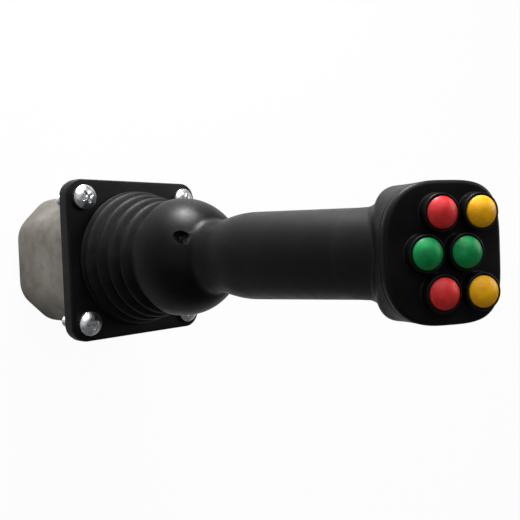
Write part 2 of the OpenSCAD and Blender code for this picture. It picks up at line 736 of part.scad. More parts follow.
// Hub on the lever, with a tongue below that carries the moving peg of the Y spring.
module lever_hub() color(steel) translate([0, 0, pivot_z]) difference() {
    union() {
        translate([-hub_half, -hub_half, -ring_h / 2 - 1]) cube([2 * hub_half, 2 * hub_half, ring_h + 2]);
        translate([-3, 0, moving_peg_z - peg_r - 1])
            cube([6, hub_half, -moving_peg_z + peg_r + 1]);
        translate([0, hub_half - overlap, moving_peg_z]) rotate([-90, 0, 0])
            cylinder(r = peg_r, h = overlap + ring_in - hub_half - 0.4);
    }
    translate([0, 0, -tail_drop]) cylinder(d = lever_d, h = 2 * tail_drop);
    rotate([90, 0, 0]) cylinder(d = pin_d, h = 2 * hub_half + 2, center = true);
}

// Pin through hub and lever, held at both ends by a clip outside the ring.
module cross_pin() color(zinc) translate([0, 0, pivot_z]) rotate([-90, 0, 0]) {
    translate([0, 0, -ring_half - 0.8]) cylinder(d = pin_d, h = 2 * ring_half + 1.6);
    translate([0, 0, -ring_half - clip_gap - clip_t]) cylinder(r = pin_d / 2 + 1.2, h = clip_t);
}

module y_magnet() color(zinc) translate([0, y_magnet_y, pivot_z]) rotate([-90, 0, 0])
    cylinder(r = magnet_r, h = magnet_t);

module tail_ball() color(nylon) translate([0, 0, ball_z]) difference() {
    sphere(d = tail_ball_d);
    cylinder(d = lever_d, h = tail_ball_d);
}

module bellows_collar() color(black_plastic) translate([0, 0, face_z + collar_z])
    tube(collar_r, lever_d / 2, lower_bush_z - collar_z);

/* Grip */

// Point at fraction t of a cubic curve with the given four control points.
function cubic(a, b, c, d, t) = a * pow(1 - t, 3) + 3 * b * t * pow(1 - t, 2)
    + 3 * c * t * t * (1 - t) + d * pow(t, 3);

// Arc about c = [radius, height] with radius r from angle a1 to angle a2, in n steps.
function arc(c, r, a1, a2, n) = [for (i = [0 : n]) let (a = a1 + (a2 - a1) * i / n)
    c + r * [cos(a), sin(a)]];

// Outside of the handle from rim to top, as radius and height above the flange: a ball-shaped
// skirt, a rounding into the neck, a curve out to the swell and a long taper.
function grip_outside(steps = 10) = concat(
    [[rim_r - 0.6, rim_z], [rim_r, rim_z + 0.7]],
    arc([0, dome_z], rim_r, 0, dome_turn, steps),
    arc([neck_r + neck_round, neck_z], neck_round, 180 + dome_turn, 180, 5),
    [for (i = [1 : steps])
        cubic([neck_r, neck_z], [neck_r, neck_z + 7], [swell_r, swell_z - 10],
              [swell_r, swell_z], i / steps)],
    [[handle_top_r, handle_top_z - 1], [handle_top_r - 0.6, handle_top_z - 0.2]]);

function grip_inside() = concat(
    [[rim_r - grip_wall, rim_z]],
    arc([0, dome_z], rim_r - grip_wall, 0, dome_turn, 6),
    arc([neck_r + neck_round, neck_z], neck_round + grip_wall, 180 + dome_turn, 180, 4),
    [[neck_r - grip_wall, neck_z + 7], [handle_top_in_r, neck_z + 16.5],
     [handle_top_in_r, handle_top_z - 0.2]]);

module grip_handle() color(black_plastic) translate([0, 0, face_z]) difference() {
    inside = grip_inside();
    rotate_extrude($fn = 96) polygon(concat(grip_outside(),
        [for (i = [len(inside) - 1 : -1 : 0]) inside[i]]));
    set_screw_line() cylinder(d = set_hole_d, h = rim_r);
}

// Runs +Z along the set screw, starting on the lever's axis.
module set_screw_line() translate([0, 0, set_screw_z]) rotate(-90 - set_screw_angle)
    rotate([0, 90, 0]) translate([0, 0, lever_d / 2]) children();

module lower_grip_bush() color(steel) translate([0, 0, face_z]) difference() {
    translate([0, 0, lower_bush_z]) tube(lower_bush_r, lever_d / 2, lower_bush_len);
    set_screw_line() cylinder(d = set_screw_d, h = lower_bush_r);
}

module set_screw() color(steel) translate([0, 0, face_z]) set_screw_line() {
    len = lower_bush_r - lever_d / 2 + set_screw_proud;
    difference() {
        cylinder(d = set_screw_d, h = len);
        translate([0, 0, len - set_socket_depth]) hexagon(set_screw_d * 0.55, set_socket_depth + overlap);
    }
}

module upper_grip_bush() color(nylon) translate([0, 0, handle_z - 0.2 - upper_bush_len])
    tube(handle_top_in_r - grip_fit, lever_d / 2, upper_bush_len);

/* Head */

// Runs children in the panel's own axes: x across, y up the slope, z out of the panel.
module on_panel() translate([0, -panel_fwd, face_z + panel_z]) rotate([panel_slope, 0, 0]) children();

// Point in direction a of the outline |x/w|^n + |y/l|^n = 1, whose upper half (y > 0) and
// lower half each have their own squareness n, given as [upper, lower].
function superellipse(w, l, squares, a) = let (n = squares[sin(a) > 0 ? 0 : 1])
    pow(pow(abs(cos(a)), n) + pow(abs(sin(a)), n), -1 / n) * [w * cos(a), l * sin(a)];

function ease(t) = let (u = max(0, min(1, t))) u * u * (3 - 2 * u);
function mix(a, b, t) = a + (b - a) * t;

// Ring of the head's skin at fraction t from the handle's top, which is level, to the panel's
// back, which lies on the slope. Each point starts out on the handle's own tube and swings out
// to the panel's outline: early at the sides, and only just under the panel in front.
function head_ring(t, inset, sides) =
    let (back = [-panel_fwd + panel_t * sin(panel_slope), face_z + panel_z - panel_t * cos(panel_slope)],
         bow = (back[1] - handle_z) * 0.4,
         centre = cubic([0, handle_z], [0, handle_z + bow],
                        back - bow * [-sin(panel_slope), cos(panel_slope)], back, t),
         slope = panel_slope * ease(t * 1.15))
    [for (i = [0 : sides - 1])
        let (a = 360 * (i + 0.5) / sides,
             p = superellipse(panel_half_w - inset, panel_half_l - inset, panel_squares, a),
             tube = (handle_top_r - inset) * [cos(a), sin(a)],
             start = flare_start + (sin(a) < 0 ? flare_front - flare_start : -flare_start) * pow(sin(a), 2),
             stop = flare_stop + (0.99 - flare_stop) * pow(sin(a), 2),
             out = ease((t - start) / (stop - start)))
        mix([tube[0], tube[1], centre[1] + (tube[1] - centre[0]) * tan(slope)],
            [p[0], centre[0] + p[1] * cos(slope), centre[1] + p[1] * sin(slope)], out)];

function flat_ring(r, z, sides) = [for (i = [0 : sides - 1])
    [r * cos(360 * (i + 0.5) / sides), r * sin(360 * (i + 0.5) / sides), z]];

// Closed skin through a loop of rings, the last joined to the first.
module ring_loop(rings) {
    sides = len(rings[0]);
    n = len(rings);
    polyhedron([for (ring = rings) each ring],
        [for (j = [0 : n - 1], i = [0 : sides - 1])
            let (a = j * sides, b = (j + 1) % n * sides, k = (i + 1) % sides)
            each [[a + i, b + i, b + k], [a + i, b + k, a + k]]]);
}

// Head housing: lofted shell that flares from the handle's round top to the sloping panel.
module head_housing() color(black_plastic) {
    sides = 48;
    steps = 12;
    floor_t = head_floor / (face_z + panel_z - handle_z);
    difference() {
        ring_loop(concat(
            [for (j = [0 : steps]) head_ring(j / steps, 0, sides)],
            [for (j = [steps : -1 : 3]) head_ring(j / steps, head_wall, sides)],
            [flat_ring(handle_top_r - head_wall, handle_z + head_floor, sides),
             flat_ring(lever_d / 2 + 0.2, handle_z + head_floor, sides),
             flat_ring(lever_d / 2 + 0.2, handle_z, sides)]));
        panel_screw_places() {
            translate([0, 0, -head_wall * 2]) cylinder(r = panel_screw_r + screw_clear, h = head_wall * 4);
            cylinder(r = panel_screw_head_r + screw_clear, h = head_wall);
        }
    }
}

// The two screws through the head's back wall into the panel's lug: z = 0 is the seat of
// the screw's head, half-way through the wall, and +Z runs out through the wall.
module panel_screw_places() on_panel() for (side = [-1, 1])
    translate([side * panel_screw_x, panel_half_l - head_wall / 2, -panel_t - lug_h / 2])
        rotate([-90, 0, 0]) children();

module lever_washer() color(zinc) translate([0, 0, handle_z + head_floor])
    tube(washer_r, lever_d / 2 + 0.2, washer_t);

module lever_nut() color(zinc) translate([0, 0, handle_z + head_floor + washer_t]) difference() {
    hexagon(lever_d * 1.8, nut_h);
    translate([0, 0, -overlap]) cylinder(d = lever_d, h = nut_h + 2 * overlap);
}

module panel_outline(inset = 0) polygon([for (i = [0 : 71])
    superellipse(panel_half_w - inset, panel_half_l - inset, panel_squares, 360 * (i + 0.5) / 72)]);

// Sloping front panel with a hole for each switch and two screw lugs behind its upper edge.
module button_panel() color(black_plastic) difference() {
    union() {
        on_panel() {
            translate([0, 0, -panel_t]) linear_extrude(panel_t - panel_bevel) panel_outline();
            hull() {
                translate([0, 0, -panel_bevel]) linear_extrude(0.01) panel_outline();
                translate([0, 0, -0.01]) linear_extrude(0.01) panel_outline(panel_bevel);
            }
            translate([-lug_w / 2, 0, -panel_t]) rotate([90, 0, 90]) linear_extrude(lug_w)
                polygon([[lug_y, -lug_h], [lug_end - lug_draft, -lug_h], [lug_end, overlap],
                         [lug_y, overlap]]);
        }
    }
    panel_screw_places() translate([0, 0, -panel_screw_len - 0.2])
        cylinder(r = panel_screw_r + screw_fit, h = panel_screw_len);
    on_panel() for (p = button_pts) translate([p[0], p[1], -panel_t - overlap])
        cylinder(d = switch_d, h = panel_t + 2 * overlap);
}

module panel_screws() color(steel) panel_screw_places()
    pan_screw(panel_screw_r, panel_screw_head_r, panel_screw_head_h, panel_screw_len,
              panel_screw_r, head_wall / 2);

/* Buttons */

// Switch bodies: a threaded barrel behind the panel and a bezel with an upright rim in front.
module button_switches() color(black_plastic) on_panel()
    for (p = button_pts) translate([p[0], p[1], 0]) difference() {
        union() {
            translate([0, 0, -switch_len]) cylinder(d = switch_d, h = switch_len + 0.01);
            cylinder(r = bezel_r, h = bezel_h);
        }
        translate([0, 0, bezel_floor]) cylinder(r = bezel_in_r, h = bezel_h);
        translate([0, 0, -stem_len - button_travel]) cylinder(r = stem_d / 2 + stem_clear, h = switch_len);
    }

module switch_nuts() color(zinc) on_panel()
    for (p = button_pts) translate([p[0], p[1], -panel_t - 2])
        tube(switch_d / 2 + nut_wall, switch_d / 2, 2);

module switch_board() color(board_green) on_panel() {
    x = panel_half_w - board_side_gap;
    top = panel_half_l - board_top_gap;
    low = board_low_gap - panel_half_l;
    translate([0, 0, -switch_len - board_t]) linear_extrude(board_t)
        polygon(rounded([[x, low], [x, top], [-x, top], [-x, low]], board_corner_r, 4));
}

// A domed cap on its stem. The dome is an arc through the rim and the crown.
module button(col, row, tint) {
    p = button_at(col, row);
    cap_r = cap_d / 2;
    dome_r = (cap_r * cap_r + cap_dome_h * cap_dome_h) / (2 * cap_dome_h);
    rim = asin(cap_r / dome_r);
    top = cap_base_h + cap_side_h;
    color(tint) on_panel() translate([p[0], p[1], 0]) rotate_extrude() polygon(concat(
        [[0, -stem_len + 0.2], [stem_d / 2, -stem_len + 0.2], [stem_d / 2, cap_base_h], [cap_r, cap_base_h]],
        [for (i = [0 : 6]) let (angle = rim * (1 - i / 6))
            [dome_r * sin(angle), top + cap_dome_h - dome_r + dome_r * cos(angle)]]));
}

module left_red_button() button(-1, 0, cap_red);
module left_yellow_button() button(-1, 1, cap_yellow);
module lower_green_button() button(0, 0, cap_green);
module upper_green_button() button(0, 1, cap_green);
module right_red_button() button(1, 0, cap_red);
module right_yellow_button() button(1, 1, cap_yellow);

housing_can();
can_screws();
cable_grommet();
flange_gasket();
flange_plate();
mounting_screws();
frame_screws();
bearing_frame();
frame_bushes();
x_return_spring();
x_sensor_board();
sensor_pillars();
upper_posts();
gate_plate();
lower_posts();
control_board();
board_header();
board_posts();
rubber_bellows();
gimbal_ring();
gimbal_axles();
x_magnet();
pin_bushes();
y_return_spring();
y_sensor_board();
y_sensor_pillars();
lever_tube();
lever_hub();
cross_pin();
y_magnet();
tail_ball();
bellows_collar();
lower_grip_bush();
upper_grip_bush();
grip_handle();
set_screw();
head_housing();
lever_washer();
lever_nut();
button_panel();
panel_screws();
button_switches();
switch_nuts();
switch_board();
left_red_button();
left_yellow_button();
lower_green_button();
upper_green_button();
right_red_button();
right_yellow_button();
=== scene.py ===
"""Panel joystick with a six-button palm grip: modelled skins and finishes round the CAD frame.

Lengths are millimetres and angles degrees. A piece turns to metres when its mesh is made.
Z runs up along the lever and the buttons face -Y, as in the frame.
"""

import json
import math

import bpy
import bmesh
import numpy as np
from mathutils import Matrix, Vector


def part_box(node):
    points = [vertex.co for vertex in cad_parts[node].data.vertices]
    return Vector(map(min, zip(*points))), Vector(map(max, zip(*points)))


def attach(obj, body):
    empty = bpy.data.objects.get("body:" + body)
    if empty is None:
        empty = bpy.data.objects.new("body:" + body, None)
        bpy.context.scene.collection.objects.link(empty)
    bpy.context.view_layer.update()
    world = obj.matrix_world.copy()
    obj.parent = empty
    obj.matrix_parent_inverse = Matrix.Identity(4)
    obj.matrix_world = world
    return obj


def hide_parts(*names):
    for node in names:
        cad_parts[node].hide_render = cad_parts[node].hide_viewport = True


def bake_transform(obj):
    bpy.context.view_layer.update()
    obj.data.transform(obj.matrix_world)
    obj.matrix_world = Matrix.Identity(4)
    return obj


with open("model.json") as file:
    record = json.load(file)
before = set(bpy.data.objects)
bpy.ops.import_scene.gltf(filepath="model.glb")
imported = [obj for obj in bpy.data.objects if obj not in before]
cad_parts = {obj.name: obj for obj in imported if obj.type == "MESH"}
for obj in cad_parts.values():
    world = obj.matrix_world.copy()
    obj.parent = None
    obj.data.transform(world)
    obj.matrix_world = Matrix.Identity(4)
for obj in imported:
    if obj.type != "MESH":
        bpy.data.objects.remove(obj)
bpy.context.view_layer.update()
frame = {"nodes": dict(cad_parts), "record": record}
MM = 0.001


def span(node):
    """Lowest and highest corner of a CAD node, in millimetres."""
    low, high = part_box(node)
    return np.array(low) / MM, np.array(high) / MM


# ---- Sizes read from the frame -------------------------------------------------------------
PLATE_LOW, PLATE_HIGH = span("flange_plate")
CAN_LOW, CAN_HIGH = span("housing_can")
GRIP_LOW, GRIP_HIGH = span("grip_handle")
HEAD_LOW = span("head_housing")[0]
BOOT_LOW = span("rubber_bellows")[0]
SCREW_LOW = span("mounting_screws")[0]
GROMMET_HIGH = span("cable_grommet")[1]

# ---- Sizes that the boxes don't tell -------------------------------------------------------
BOOT_SEAT = 0.15  # the bellows' foot stands this far off the plate
FACE = BOOT_LOW[2] - BOOT_SEAT  # top face of the flange plate
PLATE_CORNER = 8.5
PLATE_FILLET = 1.1
COLLAR_R = 31.8
OPENING_R = 20.0
CAN_CUT = 17.0  # length of the can's cut corners, along a side
CAN_EDGE = 16.0
CAN_BEVEL = 2.4
CAN_WALL = 2.0
CAN_FLOOR = 2.5
GROMMET_GAP = 0.3
GROMMET_WAIST = 2.5  # how far the grommet's groove goes in from its flange
POST_AT = 22.0  # screws in the can's floor, across and along
SINK_R = 3.0
SINK_LOW_R = 1.75
SINK_DEPTH = 1.5
SINK_END = 2.2
BOLT_AT = 31.0
BOLT_R = 3.0
BOLT_NECK_R = 2.7
BOLT_HEAD_R = 6.0
BOLT_HEAD_H = 4.6
BOLT_TURNS = (28.0, 64.0, 11.0, 47.0)  # each screw stopped at an angle of its own
RECESS_LEN = 3.4
RECESS_WIDE = 0.72
RECESS_DEPTH = 2.4
THREAD_PITCH = 1.0
THREAD_DEPTH = 0.55
LEVER_R = 5.0

# Grip, as radius and height above the plate's face
RIM = (GRIP_HIGH[0], GRIP_LOW[2] - FACE)
NECK = (16.2, 64.0)
NECK_ROUND = 6.5
SWELL = (18.9, 87.0)
HEAD_BASE = HEAD_LOW[2]
TOP = (17.3, HEAD_BASE - FACE)  # the handle ends where the head sits down on it
GRIP_WALL = 2.8
HOLE_AT = 57.5
HOLE_TURN = -118.0  # direction of the set screw about the lever
HOLE_R = 3.0

# Bellows
FOLDS = 5
FOLD_R = 34.1
FOLD_STEP = 2.05
FOLD_DEPTH = 3.6
FIRST_FOLD = 4.6
BOOT_WALL = 1.4
CUFF_R = 8.3

# Head and panel
SLOPE = 32.0
PANEL_W = 24.0
PANEL_L = 21.6
PANEL_T = 3.4
PANEL_ROUND = 1.6
PANEL_AT = np.array([0.0, -7.2, FACE + 178.4])
SQUARE_UP = 3.8
SQUARE_LOW = 2.6
FLARE = (0.1, 0.56)  # share of the way up at which the head's sides start and stop flaring
FLARE_FRONT = (0.7, 0.99)
FLARE_BACK = (0.0, 0.99)
CREASE_ROW = 0.002  # a ring close to the base keeps its edge crisp
PANEL_SCREW_AT = (3.4, 2.7)  # across from the middle, and behind the panel
PANEL_SCREW_HEAD_R = 2.6
PANEL_SCREW_R = 1.55
HEAD_WALL = 2.6
HEAD_FLOOR = 3.0

# Buttons
PITCH_X = 13.1
PITCH_Y = 14.2
STAGGER = 5.6
SHIFT = 4.7
CAP_R = 5.3
CAP_BASE = 2.9
CAP_SIDE = 1.1
CAP_DOME = 2.7
STEM_R = 2.0
STEM_END = -7.8
BEZEL_R = 6.35
BEZEL_WALL = 0.75
BEZEL_H = 3.8
BEZEL_FLOOR = 0.6
BARREL_R = 4.8
BARREL_LEN = 11.5


# ---- Curves --------------------------------------------------------------------------------
def ease(t):
    """Smooth step from 0 to 1 as t goes from 0 to 1: 3u^2 - 2u^3 of the clipped t."""
    u = np.clip(t, 0, 1)
    return u * u * (3 - 2 * u)


def mix(a, b, t):
    """a at t = 0, b at t = 1, straight between."""
    return a + (b - a) * t


def cubic(a, b, c, d, t):
    """Points at fractions t of the cubic curve with control points a, b, c and d."""
    t = np.asarray(t, float)[:, None]
    a, b, c, d = (np.asarray(p, float) for p in (a, b, c, d))
    return a * (1 - t) ** 3 + 3 * b * t * (1 - t) ** 2 + 3 * c * t * t * (1 - t) + d * t**3


def line(a, b, steps):
    """Points from a to b in equal steps, without b."""
    t = np.arange(steps)[:, None] / steps
    return np.asarray(a, float) * (1 - t) + np.asarray(b, float) * t


def arc(centre, radius, start, end, steps):
    """Points on a circle from the start angle to the end angle, both kept."""
    angle = np.radians(np.linspace(start, end, steps + 1))
    return np.asarray(centre, float) + radius * np.stack([np.cos(angle), np.sin(angle)], -1)


def rounded_outline(corners, radius, corner_steps, side_steps):
    """Convex outline, counter-clockwise: an arc of the radius in each corner, straight between."""
    corners = np.asarray(corners, float)
    before = np.roll(corners, 1, 0) - corners
    after = np.roll(corners, -1, 0) - corners
    before /= np.linalg.norm(before, axis=1)[:, None]
    after /= np.linalg.norm(after, axis=1)[:, None]
    half = np.arccos((before * after).sum(1)) / 2
    middle = before + after
    middle /= np.linalg.norm(middle, axis=1)[:, None]
    centre = corners + middle * (radius / np.sin(half))[:, None]
    start = corners + before * (radius / np.tan(half))[:, None] - centre
    first = np.arctan2(start[:, 1], start[:, 0])
    turn = (math.pi - 2 * half)[:, None] * np.linspace(0, 1, corner_steps + 1)
    angle = first[:, None] + turn
    arcs = centre[:, None] + radius * np.stack([np.cos(angle), np.sin(angle)], -1)
    t = (np.arange(1, side_steps) / side_steps)[None, :, None]
    sides = arcs[:, -1:] * (1 - t) + np.roll(arcs, -1, 0)[:, :1] * t
    return np.concatenate([arcs, sides], 1).reshape(-1, 2)


def square_outline(half, radius):
    """Square with rounded corners, by half its side."""
    corners = np.array([[1, -1], [1, 1], [-1, 1], [-1, -1]]) * half
    return rounded_outline(corners, radius, 20, 14)


def can_outline(inset):
    """The can's octagon, moved in by the inset on every side."""
    h = CAN_HIGH[0] - inset
    k = h - CAN_CUT + inset * (2 - math.sqrt(2))
    corners = [[h, -k], [h, k], [k, h], [-k, h], [-h, k], [-h, -k], [-k, -h], [k, -h]]
    return rounded_outline(corners, max(CAN_EDGE - inset, 0.5), 8, 14)


def superellipse(width, length, angle):
    """Point in a direction of the outline |x/width|^n + |y/length|^n = 1, whose squareness n
    differs above and below y = 0."""
    n = np.where(np.sin(angle) > 0, SQUARE_UP, SQUARE_LOW)
    reach = (np.abs(np.cos(angle)) ** n + np.abs(np.sin(angle)) ** n) ** (-1 / n)
    return width * np.cos(angle) * reach, length * np.sin(angle) * reach


HEAD_ANGLES = (np.arange(192) + 0.5) / 192 * 2 * math.pi


# ---- Meshes --------------------------------------------------------------------------------
class Skin:
    """A mesh under construction: points in millimetres, and faces as arrays of point numbers."""

    def __init__(self):
        self.points = []
        self.faces = []
        self.count = 0

    def add(self, points):
        """Adds a grid of points of any shape and returns their numbers in that shape."""
        points = np.asarray(points, float)
        ids = np.arange(self.count, self.count + points[..., 0].size)
        self.points.append(points.reshape(-1, 3))
        self.count += ids.size
        return ids.reshape(points.shape[:-1])

    def at(self, ids):
        """Points by their numbers."""
        return np.concatenate(self.points)[ids]

    def quads(self, ids, loop_rows=False, windows=()):
        """Joins each point of a grid to its neighbours. Rows close on themselves, windows stay open."""
        rows, cols = ids.shape
        r, c = np.meshgrid(np.arange(rows if loop_rows else rows - 1), np.arange(cols), indexing="ij")
        keep = np.ones(r.shape, bool)
        for r0, r1, columns in windows:
            keep[r0:r1, columns] = False
        down, right = (r + 1) % rows, (c + 1) % cols
        quads = np.stack([ids[r, c], ids[r, right], ids[down, right], ids[down, c]], -1)
        self.faces.append(quads[keep])

    def strip(self, a, b):
        """Band of quads between two closed loops of as many points, started where they match best."""
        pa, pb = self.at(a), self.at(b)
        cost = [np.linalg.norm(pa - np.roll(pb, -k, 0), axis=1).sum() for k in range(len(b))]
        b = np.roll(b, -int(np.argmin(cost)))
        self.faces.append(np.stack([a, np.roll(a, -1), np.roll(b, -1), b], -1))

    def fan(self, loop, tip):
        """Closes a loop with triangles to one point."""
        tip = np.full(len(loop), self.add(np.asarray(tip, float)[None])[0])
        self.faces.append(np.stack([loop, np.roll(loop, -1), tip], -1))

    def pierce(self, ids, centre, axis, radius, reach, rings=4):
        """Opens a round hole in a grid. Between the window's edge and the hole's circle lie rings
        whose points slide straight inwards, at the height of a quadratic surface fitted to the
        grid there. Returns the circle's point numbers and the window."""
        centre, axis = np.asarray(centre, float), np.asarray(axis, float)
        axis = axis / np.linalg.norm(axis)
        side = np.cross(axis, [0.0, 0.0, 1.0] if abs(axis[2]) < 0.9 else [1.0, 0.0, 0.0])
        side /= np.linalg.norm(side)
        other = np.cross(axis, side)
        offset = self.at(ids) - centre
        away = np.linalg.norm(offset - (offset @ axis)[..., None] * axis, axis=-1)
        away = away + 10 * (np.abs(offset @ axis) > 3 * radius)
        r, c = np.unravel_index(np.argmin(away), away.shape)
        r0, r1 = r - reach[0], r + reach[0]
        columns = np.arange(c - reach[1], c + reach[1]) % ids.shape[1]
        block = ids[r0 : r1 + 1, np.append(columns, (c + reach[1]) % ids.shape[1])]
        edge = np.concatenate([block[0, :-1], block[:-1, -1], block[-1, :0:-1], block[:0:-1, 0]])
        near = self.at(block.ravel()) - centre

        def terms(x, y):
            return np.stack([np.ones_like(x), x, y, x * x, x * y, y * y], -1)

        fit = np.linalg.lstsq(terms(near @ side, near @ other), near @ axis, rcond=None)[0]
        start = self.at(edge) - centre
        x, y, h = start @ side, start @ other, start @ axis
        order = np.argsort(np.arctan2(y, x))
        edge, x, y, h = edge[order], x[order], y[order], h[order]
        angle = np.arctan2(y, x)
        spare = h - terms(x, y) @ fit
        last = edge
        for f in np.arange(1, rings + 1) / rings:
            px = x * (1 - f) + radius * np.cos(angle) * f
            py = y * (1 - f) + radius * np.sin(angle) * f
            ph = terms(px, py) @ fit + spare * (1 - f)
            ring = self.add(centre + px[:, None] * side + py[:, None] * other + ph[:, None] * axis)
            self.strip(last, ring)
            last = ring
        return last, (r0, r1, columns)

    def rings_about(self, loop, centre, axis, steps):
        """Carries a hole's circle on: each step is (radius, height along the axis)."""
        centre, axis = np.asarray(centre, float), np.asarray(axis, float)
        axis = axis / np.linalg.norm(axis)
        offset = self.at(loop) - centre
        flat = offset - (offset @ axis)[:, None] * axis
        flat /= np.linalg.norm(flat, axis=1)[:, None]
        for radius, height in steps:
            ring = self.add(centre + flat * radius + axis * height)
            self.strip(loop, ring)
            loop = ring
        return loop

    def piece(self, name, crease=40.0):
        """Makes the object: faces turned outwards, smooth but for edges sharper than the crease."""
        mesh = bpy.data.meshes.new(name)
        faces = [f.tolist() for block in self.faces for f in block]
        mesh.from_pydata((np.concatenate(self.points) * MM).tolist(), [], faces)
        work = bmesh.new()
        work.from_mesh(mesh)
        bmesh.ops.delete(work, geom=[v for v in work.verts if not v.link_faces], context="VERTS")
        bmesh.ops.recalc_face_normals(work, faces=work.faces)
        if work.calc_volume(signed=True) < 0:
            bmesh.ops.reverse_faces(work, faces=work.faces)
        work.to_mesh(mesh)
        work.free()
        mesh.shade_smooth()
        mesh.set_sharp_from_angle(angle=math.radians(crease))
        made = bpy.data.objects.new(name, mesh)
        bpy.context.scene.collection.objects.link(made)
        return made


def turned(profile, count, start=0.0):
    """Grid of points: a profile of (radius, height) turned about Z, one row per profile point."""
    profile = np.asarray(profile, float)
    angle = math.radians(start) + np.arange(count) / count * 2 * math.pi
    x = profile[:, :1] * np.cos(angle)
    y = profile[:, :1] * np.sin(angle)
    return np.stack([x, y, np.broadcast_to(profile[:, 1:], x.shape)], -1)


def outline_rows(rows):
    """Grid of points: each row is (outline of x and y, height)."""
    return np.stack([np.column_stack([xy, np.full(len(xy), z)]) for xy, z in rows])


def on_panel(points):
    """Panel axes to the frame's: x across, y up the slope, z out of the panel."""
    points = np.asarray(points, float)
    s, c = math.sin(math.radians(SLOPE)), math.cos(math.radians(SLOPE))
    x, y, z = points[..., 0], points[..., 1], points[..., 2]
    return PANEL_AT + np.stack([x, y * c - z * s, y * s + z * c], -1)


def lathe_closed(skin, profile, count, move=None):
    """Solid turned from a profile that starts and ends on the axis."""
    profile = np.asarray(profile, float)
    points = turned(profile[1:-1], count)
    ends = np.array([[0, 0, profile[0, 1]], [0, 0, profile[-1, 1]]])
    if move is not None:
        points, ends = move(points), move(ends)
    ids = skin.add(points)
    skin.quads(ids)
    skin.fan(ids[0], ends[0])
    skin.fan(ids[-1], ends[1])


# ---- Finishes ------------------------------------------------------------------------------
class Finish:
    """A Principled material whose nodes read Object coordinates, in metres."""

    def __init__(self, name, roughness=0.5, metallic=0.0, **sockets):
        self.material = bpy.data.materials.new(name)
        self.material.use_nodes = True
        self.tree = self.material.node_tree
        self.shader = self.tree.nodes["Principled BSDF"]
        self.shader.inputs["Roughness"].default_value = roughness
        self.shader.inputs["Metallic"].default_value = metallic
        for socket, value in sockets.items():
            self.shader.inputs[socket.replace("_", " ")].default_value = value
        self.place = self.node("ShaderNodeTexCoord").outputs["Object"]

    def node(self, kind, inputs=None, **settings):
        made = self.tree.nodes.new(kind)
        for key, value in settings.items():
            setattr(made, key, value)
        for key, value in (inputs or {}).items():
            if isinstance(value, bpy.types.NodeSocket):
                self.tree.links.new(value, made.inputs[key])
            else:
                made.inputs[key].default_value = value
        return made

    def noise(self, size, detail=4.0, rough=0.55, stretch=(1, 1, 1)):
        """Cloudy noise from 0 to 1, with lumps of about the size in millimetres."""
        scaled = self.node("ShaderNodeMapping", {"Vector": self.place, "Scale": stretch})
        inputs = {"Vector": scaled.outputs[0], "Scale": 1 / (size * MM), "Detail": detail}
        inputs["Roughness"] = rough
        return self.node("ShaderNodeTexNoise", inputs).outputs["Fac"]

    def span(self, value, low, high, to_low, to_high):
        """Maps a value's range from low..high to to_low..to_high, clamped."""
        inputs = {"Value": value, "From Min": low, "From Max": high, "To Min": to_low, "To Max": to_high}
        return self.node("ShaderNodeMapRange", inputs).outputs[0]

    def blend(self, factor, a, b):
        """Colour a at factor 0, colour b at factor 1."""
        made = self.node("ShaderNodeMix", {"Factor": factor}, data_type="RGBA")
        for index, value in ((6, a), (7, b)):
            if isinstance(value, bpy.types.NodeSocket):
                self.tree.links.new(value, made.inputs[index])
            else:
                made.inputs[index].default_value = (*value, 1)
        return made.outputs[2]

    def edges(self, low=0.51, high=0.56):
        """1 along outer edges, 0 on flats."""
        return self.span(self.node("ShaderNodeNewGeometry").outputs["Pointiness"], low, high, 0, 1)

    def bump(self, *layers):
        """Raises the surface by each (height, depth in millimetres)."""
        normal = None
        for height, depth in layers:
            inputs = {"Height": height, "Strength": 1.0, "Distance": depth * MM}
            if normal is not None:
                inputs["Normal"] = normal
            normal = self.node("ShaderNodeBump", inputs).outputs[0]
        self.tree.links.new(normal, self.shader.inputs["Normal"])

    def colour(self, socket):
        self.tree.links.new(socket, self.shader.inputs["Base Color"])

    def rough(self, socket):
        self.tree.links.new(socket, self.shader.inputs["Roughness"])


def moulded_finish(name, dark, light, roughness, grain):
    """Black moulded plastic: fine spark-eroded grain, faint blotches and edges rubbed paler."""
    f = Finish(name, roughness=roughness, Specular_IOR_Level=0.12)
    blotch = f.noise(14, detail=3)
    base = f.blend(f.span(blotch, 0.35, 0.65, 0, 1), dark, light)
    worn = tuple(2.2 * c for c in light)
    f.colour(f.blend(f.span(f.edges(), 0, 1, 0, 0.5), base, worn))
    f.rough(f.span(f.noise(5, detail=5), 0.3, 0.7, roughness - 0.05, roughness + 0.07))
    f.bump((f.noise(grain, detail=3, rough=0.7), 0.012), (f.noise(9, detail=2), 0.03))
    return f.material


def rubber_finish():
    """Satin black rubber: a little dusty in the hollows of its cloudy surface."""
    f = Finish("satin_rubber", roughness=0.5, Specular_IOR_Level=0.14)
    dust = f.span(f.noise(7, detail=6), 0.42, 0.7, 0, 1)
    f.colour(f.blend(dust, (0.003, 0.003, 0.0033), (0.008, 0.0078, 0.008)))
    f.rough(f.span(f.noise(3, detail=4), 0.3, 0.7, 0.42, 0.56))
    f.bump((f.noise(0.5, detail=2), 0.01))
    return f.material


